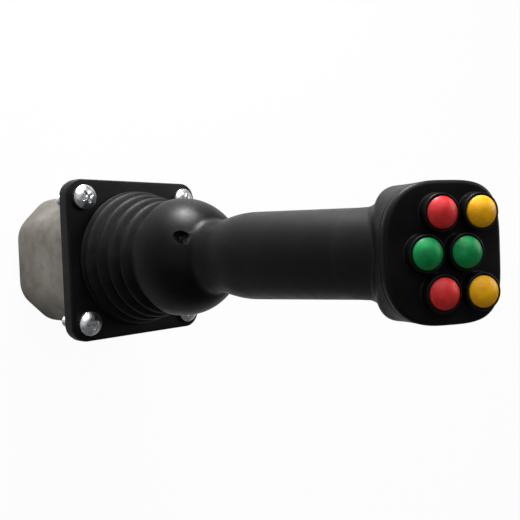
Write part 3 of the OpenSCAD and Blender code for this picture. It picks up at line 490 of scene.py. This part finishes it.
def can_finish():
    """Dull warm grey sheet metal: brushed across, with cloudy stains and paler rubbed edges."""
    f = Finish("dull_can_metal", roughness=0.42, metallic=0.85)
    brushed = f.noise(0.5, detail=4, rough=0.7, stretch=(1, 1, 0.05))
    cloud = f.noise(16, detail=6, rough=0.6)
    stain = f.span(f.noise(9, detail=6), 0.47, 0.68, 0, 0.7)
    base = f.blend(f.span(cloud, 0.3, 0.7, 0, 1), (0.18, 0.166, 0.144), (0.31, 0.288, 0.255))
    base = f.blend(stain, base, (0.13, 0.105, 0.078))
    base = f.blend(f.span(brushed, 0.3, 0.7, 0, 0.18), base, (0.45, 0.43, 0.4))
    f.colour(f.blend(f.span(f.edges(), 0, 1, 0, 0.4), base, (0.5, 0.48, 0.45)))
    f.rough(f.span(cloud, 0.3, 0.7, 0.36, 0.52))
    f.bump((brushed, 0.012), (cloud, 0.08))
    return f.material


def plated_finish(name, colour, roughness, cloud_size=3.0):
    """Plated or machined metal: bright, with fine cloudy unevenness and faint scratches."""
    f = Finish(name, roughness=roughness, metallic=1.0)
    cloud = f.noise(cloud_size, detail=5)
    shade = tuple(0.72 * c for c in colour)
    f.colour(f.blend(f.span(cloud, 0.35, 0.65, 0, 1), shade, colour))
    f.rough(f.span(cloud, 0.3, 0.7, roughness - 0.06, roughness + 0.1))
    f.bump((f.noise(0.4, detail=3, stretch=(1, 6, 1)), 0.006), (cloud, 0.01))
    return f.material


def cast_finish():
    """Die-cast frame metal: matt grey with a pebbly skin."""
    f = Finish("cast_metal", roughness=0.55, metallic=0.9)
    pebble = f.noise(0.9, detail=3)
    f.colour(f.blend(f.span(pebble, 0.35, 0.65, 0, 1), (0.34, 0.345, 0.35), (0.5, 0.505, 0.51)))
    f.bump((pebble, 0.04))
    return f.material


def board_finish():
    """Green solder mask over a printed circuit, with traces as faint paler lines."""
    f = Finish("circuit_board", roughness=0.32, Coat_Weight=0.4)
    wave = f.node("ShaderNodeTexWave", {"Vector": f.place, "Scale": 260.0, "Distortion": 6.0})
    trace = f.span(wave.outputs["Fac"], 0.78, 0.82, 0, 0.6)
    f.colour(f.blend(trace, (0.012, 0.11, 0.045), (0.03, 0.22, 0.08)))
    f.bump((wave.outputs["Fac"], 0.01))
    return f.material


def nylon_finish():
    """Milky white nylon."""
    f = Finish("nylon", roughness=0.38, Subsurface_Weight=0.15, Subsurface_Scale=0.003)
    f.colour(f.blend(f.noise(4, detail=3), (0.74, 0.73, 0.68), (0.84, 0.83, 0.79)))
    f.bump((f.noise(0.8, detail=2), 0.01))
    return f.material


def cap_finish(name, deep, bright):
    """Coloured button plastic: satin, slightly cloudy, paler where fingers polish the crown."""
    f = Finish(name, roughness=0.36, Specular_IOR_Level=0.2, Subsurface_Weight=0.06)
    f.shader.inputs["Subsurface Scale"].default_value = 0.001
    f.colour(f.blend(f.span(f.noise(3.5, detail=4), 0.3, 0.7, 0, 1), deep, bright))
    f.rough(f.span(f.noise(1.6, detail=4), 0.3, 0.7, 0.32, 0.45))
    f.bump((f.noise(0.45, detail=2), 0.006))
    return f.material


FINISHES = {
    "plate": moulded_finish("plate_plastic", (0.0025, 0.0025, 0.003), (0.005, 0.0048, 0.0052), 0.42, 0.6),
    "grip": moulded_finish("grip_plastic", (0.002, 0.002, 0.0022), (0.004, 0.0038, 0.0042), 0.36, 0.45),
    "head": moulded_finish("head_plastic", (0.0025, 0.0025, 0.0026), (0.005, 0.0049, 0.005), 0.42, 0.55),
    "black_plastic": moulded_finish(
        "switch_plastic", (0.0025, 0.0025, 0.0025), (0.0045, 0.0045, 0.0045), 0.34, 0.4
    ),
    "black_rubber": rubber_finish(),
    "can_metal": can_finish(),
    "zinc_plated": plated_finish("zinc_plating", (0.88, 0.89, 0.91), 0.28),
    "steel": plated_finish("machined_steel", (0.56, 0.565, 0.58), 0.3),
    "cast_metal": cast_finish(),
    "bronze": plated_finish("sintered_bronze", (0.55, 0.36, 0.15), 0.38, 0.8),
    "circuit_board": board_finish(),
    "nylon": nylon_finish(),
    "red_cap": cap_finish("red_button", (0.46, 0.016, 0.018), (0.62, 0.034, 0.036)),
    "yellow_cap": cap_finish("yellow_button", (0.66, 0.3, 0.002), (0.84, 0.43, 0.005)),
    "green_cap": cap_finish("green_button", (0.002, 0.16, 0.04), (0.005, 0.27, 0.075)),
}


def dress(piece, finish, replaced):
    """Gives a piece its finish, and hides the CAD node that it stands for."""
    piece.data.materials.append(FINISHES[finish])
    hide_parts(replaced)
    return piece


# ---- Housing -------------------------------------------------------------------------------
def can_skin():
    """Rings of the octagon run from the plate down the side, round the bevel and across the
    floor to the grommet's seat, then up the inside. The floor has four countersunk holes."""
    base, top = CAN_LOW[2], CAN_HIGH[2]
    bend = np.radians(np.linspace(0, 90, 9))
    rows = [(can_outline(0), z) for z in np.linspace(top, base + CAN_BEVEL, 24, endpoint=False)]
    for b in bend:
        rows.append((can_outline(CAN_BEVEL * (1 - math.cos(b))), base + CAN_BEVEL * (1 - math.sin(b))))
    seat_r = GROMMET_HIGH[0] + GROMMET_GAP
    waist_r = GROMMET_HIGH[0] - GROMMET_WAIST
    edge = can_outline(CAN_BEVEL)
    aim = edge / np.linalg.norm(edge, axis=1)[:, None]
    flat = [(edge * (1 - f) + aim * seat_r * f, base) for f in np.linspace(0, 1, 19)[1:]]
    middle = [(aim * seat_r, base + CAN_FLOOR / 2), (aim * waist_r, base + CAN_FLOOR / 2)]
    middle += [(aim * waist_r, base + CAN_FLOOR)]
    inner = can_outline(CAN_WALL)
    inside = [(aim * waist_r * (1 - f) + inner * f, base + CAN_FLOOR) for f in np.linspace(0, 1, 5)[1:]]
    inside += [(inner, z) for z in np.linspace(base + CAN_FLOOR, top, 5)[1:]]
    skin = Skin()
    ids = skin.add(outline_rows(rows + flat + middle + inside))
    windows = []
    for x in (-POST_AT, POST_AT):
        for y in (-POST_AT, POST_AT):
            at = (x, y, base)
            rim, window = skin.pierce(ids, at, (0, 0, -1), SINK_R, (2, 7))
            steps = [(SINK_LOW_R, -SINK_DEPTH), (SINK_LOW_R, -SINK_END)]
            rim = skin.rings_about(rim, at, (0, 0, -1), steps)
            skin.fan(rim, (x, y, base + SINK_END))
            windows.append(window)
    skin.quads(ids, loop_rows=True, windows=windows)
    return skin.piece("can_shell")


def gasket_skin():
    """Flat ring between the plate's outline and the can's, with softly rounded outer edges."""
    thick = PLATE_LOW[2]
    outer = [square_outline(PLATE_HIGH[0] - inset, PLATE_CORNER - inset) for inset in (0.75, 0.5)]
    inner = can_outline(-0.3)
    angle = np.arctan2(outer[0][:, 1], outer[0][:, 0])
    turn = np.unwrap(np.arctan2(inner[:, 1], inner[:, 0]))
    turn = np.concatenate([turn, turn[:1] + 2 * math.pi])
    ring = np.concatenate([inner, inner[:1]])
    place = turn[0] + (angle - turn[0]) % (2 * math.pi)
    inner = np.column_stack([np.interp(place, turn, ring[:, k]) for k in (0, 1)])
    rows = [(inner, 0.0), (outer[0], 0.0), (outer[1], 0.25), (outer[1], thick - 0.25)]
    rows += [(outer[0], thick), (inner, thick)]
    skin = Skin()
    skin.quads(skin.add(outline_rows(rows)), loop_rows=True)
    return skin.piece("gasket_skin")


def plate_skin():
    """Rings from the rounded square to the round opening: a filleted top edge, a flat face, the
    raised collar that the bellows' foot snaps round, and back along the underside."""
    half, low = PLATE_HIGH[0], PLATE_LOW[2]
    bend = np.radians(np.linspace(0, 90, 9))
    rows = [(square_outline(half - 0.4, PLATE_CORNER - 0.4), low)]
    rows += [(square_outline(half, PLATE_CORNER), low + 0.4)]
    for b in bend:
        inset = PLATE_FILLET * (1 - math.cos(b))
        z = FACE - PLATE_FILLET * (1 - math.sin(b))
        rows.append((square_outline(half - inset, PLATE_CORNER - inset), z))
    edge = rows[-1][0]
    aim = edge / np.linalg.norm(edge, axis=1)[:, None]
    rows += [(edge * (1 - f) + aim * COLLAR_R * f, FACE) for f in np.linspace(0, 1, 6)[1:]]
    top = PLATE_HIGH[2]
    rows += [(aim * COLLAR_R, top - 0.3), (aim * (COLLAR_R - 0.3), top), (aim * (OPENING_R + 0.5), top)]
    rows += [(aim * OPENING_R, top - 0.5), (aim * OPENING_R, low)]
    skin = Skin()
    skin.quads(skin.add(outline_rows(rows)), loop_rows=True)
    return skin.piece("plate_skin")


def cross_recess(x, y, half_len, half_wide, depth):
    """Depth of a cross-shaped driver recess: two tapering slots whose walls slope in steeply."""
    near, far = np.minimum(np.abs(x), np.abs(y)), np.maximum(np.abs(x), np.abs(y))
    wide = half_wide * (1 - 0.25 * far / half_len)
    across = ease((wide + 0.16 - near) / 0.32)
    along = ease((half_len - far) / (0.45 * half_len))
    return depth * across * np.maximum(along, ease((half_wide * 1.9 - np.hypot(x, y)) / half_wide))


def pan_head_points(rings, count, head_r, head_h):
    """Dome of a pan head on a polar grid: a ball cap that turns down into a short side."""
    side = head_h * 0.42
    rise = head_h - side
    t = np.linspace(0.02, 1, rings)[:, None]
    angle = np.arange(count) / count * 2 * math.pi
    dome = np.minimum(t / 0.86, 1)
    bend = (t - 0.86) / 0.14 * math.pi / 2
    on_dome = t < 0.86
    radius = head_r * np.where(on_dome, 0.93 * dome, 0.93 + 0.07 * np.sin(bend))
    height = side + rise * np.where(on_dome, 1 - 0.82 * dome**2.3, 0.18 * np.cos(bend))
    x, y = radius * np.cos(angle), radius * np.sin(angle)
    return np.stack([x, y, np.broadcast_to(height, x.shape)], -1)


def mounting_screw(skin, at, turn):
    """Pan-head screw: a domed head with a cross recess, a plain neck and a rolled thread."""
    head = pan_head_points(56, 120, BOLT_HEAD_R, BOLT_HEAD_H)
    head[..., 2] -= cross_recess(head[..., 0], head[..., 1], RECESS_LEN, RECESS_WIDE, RECESS_DEPTH)
    c, s = math.cos(math.radians(turn)), math.sin(math.radians(turn))
    length = FACE - SCREW_LOW[2]
    z = np.arange(-length + 0.8, -FACE, THREAD_PITCH / 8)[::-1, None]
    angle = np.arange(120) / 120 * 2 * math.pi
    phase = (z / THREAD_PITCH - angle / (2 * math.pi)) % 1
    ridge = BOLT_R - THREAD_DEPTH * np.abs(2 * phase - 1) ** 1.3 * ease((z + length) / 1.5)
    x, y = ridge * np.cos(angle), ridge * np.sin(angle)
    thread = np.stack([x, y, np.broadcast_to(z, ridge.shape)], -1)
    under = turned([[BOLT_HEAD_R - 0.15, 0.12], [BOLT_HEAD_R - 0.4, 0.0], [BOLT_NECK_R, 0.0],
                    [BOLT_NECK_R, -FACE + 0.2]], 120)
    tip = turned([[BOLT_R - 0.9, -length]], 120)
    points = np.concatenate([head, under, thread, tip])
    x, y = points[..., 0] * c - points[..., 1] * s, points[..., 0] * s + points[..., 1] * c
    ids = skin.add(np.stack([x, y, points[..., 2]], -1) + np.array([*at, FACE]))
    skin.quads(ids)
    skin.fan(ids[0], (*at, FACE + BOLT_HEAD_H - RECESS_DEPTH))
    skin.fan(ids[-1], (*at, FACE - length))


def mounting_screws():
    """One screw in each corner of the plate, each turned to its own angle."""
    skin = Skin()
    turns = iter(BOLT_TURNS)
    for x in (-BOLT_AT, BOLT_AT):
        for y in (-BOLT_AT, BOLT_AT):
            mounting_screw(skin, (x, y), next(turns))
    return skin.piece("flange_screws", crease=50.0)


# ---- Bellows -------------------------------------------------------------------------------
FOLD_PITCH = (RIM[1] - 4 - FIRST_FOLD) / (FOLDS - 1)
ROOF = FIRST_FOLD + (FOLDS - 1) * FOLD_PITCH
SPLIT_FOLD = 2.5  # the halves meet in the valley above the third fold


def fold_line(first, last, steps, inset):
    """Folds between two fold numbers: crests on a cone, and valleys that dip by a power of a
    cosine wave, so that crests are round and valleys narrow."""
    fold = np.linspace(first, last, steps + 1)
    dip = ((1 - np.cos(2 * math.pi * fold)) / 2) ** 1.35
    radius = FOLD_R - FOLD_STEP * fold - FOLD_DEPTH * dip - inset
    return np.column_stack([radius, FIRST_FOLD + FOLD_PITCH * fold])


def lower_boot():
    """Foot and lower folds: the outside going up, then the inside coming down."""
    foot_in = COLLAR_R + 0.3
    valley = [FOLD_R - FOLD_DEPTH * 0.62, 2.5]
    foot = [[FOLD_R + 0.2, BOOT_SEAT], [FOLD_R + 0.5, 0.45], [FOLD_R + 0.5, 1.3], [FOLD_R + 0.2, 1.6]]
    foot += [[FOLD_R - FOLD_DEPTH * 0.4, 1.9], valley]
    rise = cubic(valley, [FOLD_R - 2.2, 3.1], [FOLD_R, 3.4], [FOLD_R, FIRST_FOLD], np.linspace(0, 1, 9)[1:-1])
    outside = np.concatenate([foot, rise, fold_line(0, SPLIT_FOLD, 60, 0)])
    inside = fold_line(0, SPLIT_FOLD, 30, BOOT_WALL)[::-1]
    inside = np.concatenate([inside, [[FOLD_R - FOLD_DEPTH * 0.6 - BOOT_WALL, 2.9], [foot_in, 2.0],
                                      [foot_in, BOOT_SEAT]]])
    skin = Skin()
    skin.quads(skin.add(turned(np.concatenate([outside, inside]) + [0, FACE], 192)), loop_rows=True)
    return skin.piece("bellows_lower")


def upper_boot():
    """Upper folds, the roof and the cuff that grips the collar on the lever."""
    last = FOLDS - 1
    roof_r = FOLD_R - FOLD_STEP * last
    cuff_out = CUFF_R + BOOT_WALL
    outside = fold_line(SPLIT_FOLD, last, 36, 0)
    over = cubic([roof_r, ROOF], [roof_r, ROOF + 1.6], [roof_r - 1.2, ROOF + 2.4],
                 [roof_r - 3.4, ROOF + 2.9], np.linspace(0, 1, 9)[1:])
    outside = np.concatenate([outside, over, [[cuff_out + 2.6, ROOF + 4.7], [cuff_out + 0.7, ROOF + 5.5],
                              [cuff_out, ROOF + 6.6], [cuff_out, ROOF + 12.1],
                              [cuff_out - 0.3, ROOF + 12.4]]])
    inside = np.concatenate([[[CUFF_R, ROOF + 12.4], [CUFF_R, ROOF + 5.0], [CUFF_R + 2.4, ROOF + 3.2],
                              [roof_r - 2.4 - BOOT_WALL, ROOF + 0.8]],
                             fold_line(SPLIT_FOLD, last, 18, BOOT_WALL)[::-1]])
    skin = Skin()
    skin.quads(skin.add(turned(np.concatenate([outside, inside]) + [0, FACE], 192)), loop_rows=True)
    return skin.piece("bellows_upper")


# ---- Grip ----------------------------------------------------------------------------------
DOME_TURN = math.degrees(math.acos((NECK[0] + NECK_ROUND) / (RIM[0] + NECK_ROUND)))
DOME_Z = NECK[1] - (RIM[0] + NECK_ROUND) * math.sin(math.radians(DOME_TURN))
NECK_CENTRE = [NECK[0] + NECK_ROUND, NECK[1]]


def grip_outside():
    """Rim, ball-shaped skirt, rounding into the neck, curve out to the swell, and the long taper
    up to the head."""
    rim = arc([RIM[0] - 0.7, RIM[1] + 0.7], 0.7, -90, 0, 5)
    dome = arc([0, DOME_Z], RIM[0], 0.5, DOME_TURN, 30)
    neck = arc(NECK_CENTRE, NECK_ROUND, 180 + DOME_TURN, 180, 16)[1:]
    steps = np.linspace(0, 1, 25)[1:]
    swell = cubic(NECK, [NECK[0], NECK[1] + 7], [SWELL[0], SWELL[1] - 10], SWELL, steps)
    taper = line(SWELL, [TOP[0], TOP[1] - 0.08], 24)[1:]
    return np.concatenate([rim, dome, neck, swell, taper, [TOP]])


def grip_inside():
    """Inner wall, from the top down to the rim."""
    top_r = TOP[0] - GRIP_WALL
    dome = arc([0, DOME_Z], RIM[0] - GRIP_WALL, 0, DOME_TURN, 20)
    neck = arc(NECK_CENTRE, NECK_ROUND + GRIP_WALL, 180 + DOME_TURN, 180, 12)[1:]
    upper = [[NECK[0] - GRIP_WALL, NECK[1] + 7], [top_r, NECK[1] + 16.5], [top_r, TOP[1]]]
    return np.concatenate([[[RIM[0] - GRIP_WALL, RIM[1]]], dome, neck, upper])[::-1]


def grip_skin():
    """Wall turned about the lever, pierced through for the set screw's key."""
    outside, inside = grip_outside(), grip_inside()
    skin = Skin()
    ids = skin.add(turned(np.concatenate([outside, inside]) + [0, FACE], 216))
    out_ids, in_ids = ids[: len(outside)], ids[len(outside) :]
    a = math.radians(HOLE_TURN)
    aim = np.array([math.cos(a), math.sin(a), 0])
    hole_r = math.sqrt(RIM[0] ** 2 - (HOLE_AT - DOME_Z) ** 2)
    outer_at = aim * hole_r + [0, 0, FACE + HOLE_AT]
    inner_at = outer_at - aim * GRIP_WALL
    rim, out_window = skin.pierce(out_ids, outer_at, aim, HOLE_R, (8, 8))
    back, in_window = skin.pierce(in_ids, inner_at, aim, HOLE_R, (8, 8))
    skin.strip(rim, back)
    in_window = (in_window[0] + len(outside), in_window[1] + len(outside), in_window[2])
    skin.quads(ids, loop_rows=True, windows=[out_window, in_window])
    return skin.piece("grip_skin")


# ---- Head ----------------------------------------------------------------------------------
def head_rows(t, inset):
    """Loft of the head: level at t = 0, on the panel's slope at t = 1. Each point starts on the
    handle's tube and swings out to the panel's outline: early at the sides, and only just under
    the panel in front. The rings' centre follows a cubic curve."""
    s, c = math.sin(math.radians(SLOPE)), math.cos(math.radians(SLOPE))
    back = np.array([PANEL_AT[1] + PANEL_T * s, PANEL_AT[2] - PANEL_T * c])
    bow = (back[1] - HEAD_BASE) * 0.4
    low = np.array([0.0, HEAD_BASE])
    centre = cubic(low, low + [0, bow], back - bow * np.array([-s, c]), back, t)
    t = t[:, None]
    slope = math.radians(SLOPE) * ease(t * 1.15)
    x, y = superellipse(PANEL_W - inset, PANEL_L - inset, HEAD_ANGLES)
    block = np.stack([x, centre[:, :1] + y * np.cos(slope), centre[:, 1:] + y * np.sin(slope)], -1)
    x, y = (TOP[0] - inset) * np.cos(HEAD_ANGLES), (TOP[0] - inset) * np.sin(HEAD_ANGLES)
    tube = np.stack([x, y, centre[:, 1:] + (y - centre[:, :1]) * np.tan(slope)], -1)
    turn = np.sin(HEAD_ANGLES)
    end = np.where(turn[:, None] < 0, FLARE_FRONT, FLARE_BACK)
    start, stop = (FLARE + (end - FLARE) * turn[:, None] ** 2).T
    return mix(tube, block, ease((t - start) / (stop - start))[..., None])


def head_skin():
    """Outer loft, rounded rim, inner loft and floor, pierced at the back for the panel's screws."""
    climb = np.append([0, CREASE_ROW], np.linspace(0.016, 0.985, 64))
    outer = head_rows(climb, np.zeros((len(climb), 1)))
    rim = head_rows(np.array([0.994, 1.0, 1.0]), np.array([[0.06], [0.45], [HEAD_WALL - 0.4]]))
    inner = head_rows(np.linspace(0.985, 0.25, 40), np.full((40, 1), HEAD_WALL))
    floor_z = HEAD_BASE + HEAD_FLOOR
    spin = np.stack([np.cos(HEAD_ANGLES), np.sin(HEAD_ANGLES)], -1)
    floor = outline_rows([(spin * (TOP[0] - HEAD_WALL), floor_z), (spin * (LEVER_R + 0.2), floor_z),
                          (spin * (LEVER_R + 0.2), HEAD_BASE)])
    skin = Skin()
    ids = skin.add(np.concatenate([outer, rim, inner, floor]))
    windows = []
    axis = on_panel([0, 1, 0]) - on_panel([0, 0, 0])
    upper, turn_in = 40, len(outer) + len(rim)  # rows where the search for a hole's place starts
    seat_steps = [(PANEL_SCREW_HEAD_R, 0.2), (PANEL_SCREW_HEAD_R, 0.0), (PANEL_SCREW_R, 0.0)]
    across, behind = PANEL_SCREW_AT
    for x in (-across, across):
        z = -PANEL_T - behind
        at = on_panel([x, PANEL_L, z])
        rim_ids, window = skin.pierce(ids[upper:turn_in], at, axis, PANEL_SCREW_HEAD_R, (3, 4), rings=3)
        windows.append((window[0] + upper, window[1] + upper, window[2]))
        rim_ids = skin.rings_about(rim_ids, on_panel([x, PANEL_L - HEAD_WALL / 2, z]), axis, seat_steps)
        inside = on_panel([x, PANEL_L - HEAD_WALL, z])
        wall = ids[turn_in : turn_in + 26]
        back_ids, window = skin.pierce(wall, inside, axis, PANEL_SCREW_R, (3, 4), rings=3)
        windows.append((window[0] + turn_in, window[1] + turn_in, window[2]))
        skin.strip(rim_ids, back_ids)
    skin.quads(ids, loop_rows=True, windows=windows)
    return skin.piece("head_skin")


def panel_skin():
    """Flat front of the head: rings of the outline shrinking to the middle, with a rounded edge
    in front and a small one behind."""

    def ring(inset, z):
        x, y = superellipse(PANEL_W - inset, PANEL_L - inset, HEAD_ANGLES)
        return np.stack([x, y, np.full(len(x), z)], -1)

    bend = np.radians(np.linspace(0, 90, 10))
    rows = [ring(PANEL_W * 0.5, 0.0), ring(PANEL_ROUND * 2.2, 0.0)]
    rows += [ring(PANEL_ROUND * (1 - math.sin(b)), -PANEL_ROUND * (1 - math.cos(b))) for b in bend]
    rows += [ring(0, -PANEL_T + 0.45), ring(0.12, -PANEL_T + 0.12), ring(0.45, -PANEL_T)]
    rows += [ring(PANEL_W * 0.5, -PANEL_T)]
    skin = Skin()
    ids = skin.add(on_panel(np.array(rows)))
    skin.quads(ids)
    skin.fan(ids[0], on_panel([0, 0, 0]))
    skin.fan(ids[-1], on_panel([0, 0, -PANEL_T]))
    return skin.piece("panel_skin")


# ---- Buttons -------------------------------------------------------------------------------
def button_at(col, row):
    """Middle of a button on the panel: columns -1, 0 and 1, rows 0 and 1."""
    lower = STAGGER if col == 0 else 0
    return np.array([col * PITCH_X, SHIFT + (row - 0.5) * PITCH_Y - lower, 0.0])


def switch_skins():
    """Six switches in one piece: a bezel with a rounded rim in front, a barrel behind the panel
    and a bore for the stem."""
    inner = BEZEL_R - BEZEL_WALL
    lip = arc([BEZEL_R - BEZEL_WALL / 2, BEZEL_H - BEZEL_WALL / 2], BEZEL_WALL / 2, 180, 0, 8)
    foot = [[BEZEL_R, 0.9], [BEZEL_R, 0.4], [BEZEL_R + 0.1, 0.1], [BEZEL_R + 0.45, 0.02]]
    foot = cubic(*foot, np.linspace(0, 1, 5))
    profile = np.concatenate([[[STEM_R + 0.08, BEZEL_FLOOR], [inner, BEZEL_FLOOR]], lip, foot,
                              [[BARREL_R, 0.0], [BARREL_R, -BARREL_LEN + 0.4],
                               [BARREL_R - 0.4, -BARREL_LEN], [STEM_R + 0.08, -BARREL_LEN]]])
    skin = Skin()
    for col in (-1, 0, 1):
        for row in (0, 1):
            ids = skin.add(on_panel(turned(profile, 72) + button_at(col, row)))
            skin.quads(ids, loop_rows=True)
    return skin.piece("switch_bezels")


def cap_skin(name, col, row):
    """Domed cap on its stem: a short upright side, a softened edge and a dome that is an arc
    through the edge and the crown."""
    side_top = CAP_BASE + CAP_SIDE
    ball = (CAP_R**2 + CAP_DOME**2) / (2 * CAP_DOME)
    lean = math.degrees(math.asin(CAP_R / ball))
    dome = arc([0, side_top + CAP_DOME - ball], ball, 90 - lean + 3, 90, 24)
    edge = cubic([CAP_R, side_top - 0.35], [CAP_R, side_top - 0.1], dome[0] + [0.16, -0.14], dome[0],
                 np.linspace(0, 1, 5)[:-1])
    dome = np.concatenate([edge, dome])
    under = arc([CAP_R - 0.4, CAP_BASE + 0.4], 0.4, -90, 0, 4)
    stem = [[0, STEM_END], [STEM_R - 0.3, STEM_END], [STEM_R, STEM_END + 0.3], [STEM_R, CAP_BASE]]
    skin = Skin()
    profile = np.concatenate([stem, under, dome])
    lathe_closed(skin, profile, 72, move=lambda p: on_panel(p + button_at(col, row)))
    return skin.piece(name)


CAPS = (
    ("left_red_cap", -1, 0, "red_cap", "left_red_button"),
    ("left_yellow_cap", -1, 1, "yellow_cap", "left_yellow_button"),
    ("lower_green_cap", 0, 0, "green_cap", "lower_green_button"),
    ("upper_green_cap", 0, 1, "green_cap", "upper_green_button"),
    ("right_red_cap", 1, 0, "red_cap", "right_red_button"),
    ("right_yellow_cap", 1, 1, "yellow_cap", "right_yellow_button"),
)


# ---- Assembly ------------------------------------------------------------------------------
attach(dress(can_skin(), "can_metal", "housing_can"), "base")
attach(dress(gasket_skin(), "black_rubber", "flange_gasket"), "base")
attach(dress(plate_skin(), "plate", "flange_plate"), "base")
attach(dress(mounting_screws(), "zinc_plated", "mounting_screws"), "base")
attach(dress(grip_skin(), "grip", "grip_handle"), "stick")
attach(dress(head_skin(), "head", "head_housing"), "stick")
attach(dress(panel_skin(), "head", "button_panel"), "stick")
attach(dress(switch_skins(), "black_plastic", "button_switches"), "stick")
for cap_name, cap_col, cap_row, cap_slot, cap_node in CAPS:
    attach(dress(cap_skin(cap_name, cap_col, cap_row), cap_slot, cap_node), cap_node)

# The bellows' two halves take the rubber finish in place of the CAD bellows, with their places baked into
# their meshes.
boot = dress(lower_boot(), "black_rubber", "rubber_bellows")
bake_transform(boot)
boot = dress(upper_boot(), "black_rubber", "rubber_bellows")
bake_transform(boot)

# The CAD nodes that stay get the finish of their own slot.
SLOT_OF = {entry["node"]: entry["material_slot"] for entry in frame["record"]["subparts"]}
for node_name, node_object in frame["nodes"].items():
    node_object.data.materials.clear()
    node_object.data.materials.append(FINISHES[SLOT_OF[node_name]])


# ---- Stage, lights and camera --------------------------------------------------------------
def bright_floor():
    """Pale floor under the can. The camera sees it nearly white, with a faint shadow."""
    mesh = bpy.data.meshes.new("floor")
    half, z = 4.0, CAN_LOW[2] * MM
    corners = [(-half, -half, z), (half, -half, z), (half, half, z), (-half, half, z)]
    mesh.from_pydata(corners, [], [(0, 1, 2, 3)])
    floor = bpy.data.objects.new("floor", mesh)
    bpy.context.scene.collection.objects.link(floor)
    material = bpy.data.materials.new("pale_floor")
    material.use_nodes = True
    tree = material.node_tree
    tree.nodes.clear()
    matt = tree.nodes.new("ShaderNodeBsdfDiffuse")
    matt.inputs["Color"].default_value = (0.62, 0.62, 0.62, 1)
    glow = tree.nodes.new("ShaderNodeEmission")
    path = tree.nodes.new("ShaderNodeLightPath")
    share = tree.nodes.new("ShaderNodeMath")
    share.operation = "MULTIPLY"
    share.inputs[1].default_value = 0.96
    blend = tree.nodes.new("ShaderNodeMixShader")
    out = tree.nodes.new("ShaderNodeOutputMaterial")
    link = tree.links.new
    link(path.outputs["Is Camera Ray"], share.inputs[0])
    link(share.outputs[0], blend.inputs[0])
    link(matt.outputs[0], blend.inputs[1])
    link(glow.outputs[0], blend.inputs[2])
    link(blend.outputs[0], out.inputs["Surface"])
    mesh.materials.append(material)


def pale_world(strength):
    """Even grey light from all round, seen as white by the camera."""
    world = bpy.data.worlds.new("studio")
    bpy.context.scene.world = world
    world.use_nodes = True
    tree = world.node_tree
    tree.nodes.clear()
    dim = tree.nodes.new("ShaderNodeBackground")
    dim.inputs["Color"].default_value = (1, 1, 1, 1)
    dim.inputs["Strength"].default_value = strength
    white = tree.nodes.new("ShaderNodeBackground")
    path = tree.nodes.new("ShaderNodeLightPath")
    blend = tree.nodes.new("ShaderNodeMixShader")
    out = tree.nodes.new("ShaderNodeOutputWorld")
    tree.links.new(path.outputs["Is Camera Ray"], blend.inputs[0])
    tree.links.new(dim.outputs[0], blend.inputs[1])
    tree.links.new(white.outputs[0], blend.inputs[2])
    tree.links.new(blend.outputs[0], out.inputs["Surface"])


def soft_light(name, at, aim, size, watts):
    """Square area lamp at a place in metres, turned to face another."""
    data = bpy.data.lights.new(name, "AREA")
    data.size = size
    data.energy = watts
    lamp = bpy.data.objects.new(name, data)
    bpy.context.scene.collection.objects.link(lamp)
    look = Vector(aim) - Vector(at)
    lamp.matrix_world = Matrix.Translation(at) @ look.to_track_quat("-Z", "Y").to_matrix().to_4x4()


# Camera: turned so that the lever lies across the picture, then leaned and rolled a little.
CAMERA_AT = Vector((-6.0, -201.7, 288.4)) * MM
CAMERA_PITCH = 46.39
CAMERA_LEAN = 1.63
CAMERA_ROLL = 2.18
FOCAL = 1.2425  # focal length as a share of the picture's width


def studio_camera():
    """Camera whose right axis climbs along the lever. Lean tips its view towards its lower side
    and roll turns the picture."""
    pitch, lean, roll = (math.radians(a) for a in (CAMERA_PITCH, CAMERA_LEAN, CAMERA_ROLL))
    right = Vector((0, math.cos(pitch), math.sin(pitch)))
    ahead = Vector((0, math.sin(pitch), -math.cos(pitch)))
    down = Vector((1, 0, 0))

    def turn(a, b, angle):
        """Both axes turned in their plane, a towards b."""
        return a * math.cos(angle) + b * math.sin(angle), b * math.cos(angle) - a * math.sin(angle)

    ahead, down = turn(ahead, down, lean)
    right, down = turn(right, down, roll)
    data = bpy.data.cameras.new("camera")
    data.sensor_width = 36.0
    data.lens = FOCAL * data.sensor_width
    data.clip_start = 0.01
    camera = bpy.data.objects.new("camera", data)
    bpy.context.scene.collection.objects.link(camera)
    axes = Matrix((right, -down, -ahead)).transposed().to_4x4()
    camera.matrix_world = Matrix.Translation(CAMERA_AT) @ axes
    bpy.context.scene.camera = camera


bright_floor()
pale_world(0.12)
soft_light("key", (-1.2, -0.3, 0.6), (0, 0, 0.08), 1.6, 19.0)
soft_light("spark", (-0.55, 0.02, 0.08), (0, 0, 0.06), 0.2, 6.5)
soft_light("back", (-0.45, 1.0, 0.9), (0, 0, 0.06), 0.8, 7.0)
soft_light("fill", (-0.4, -1.1, 0.9), (0, 0, 0.08), 1.6, 3.5)
studio_camera()
bpy.context.scene.view_settings.view_transform = "Standard"
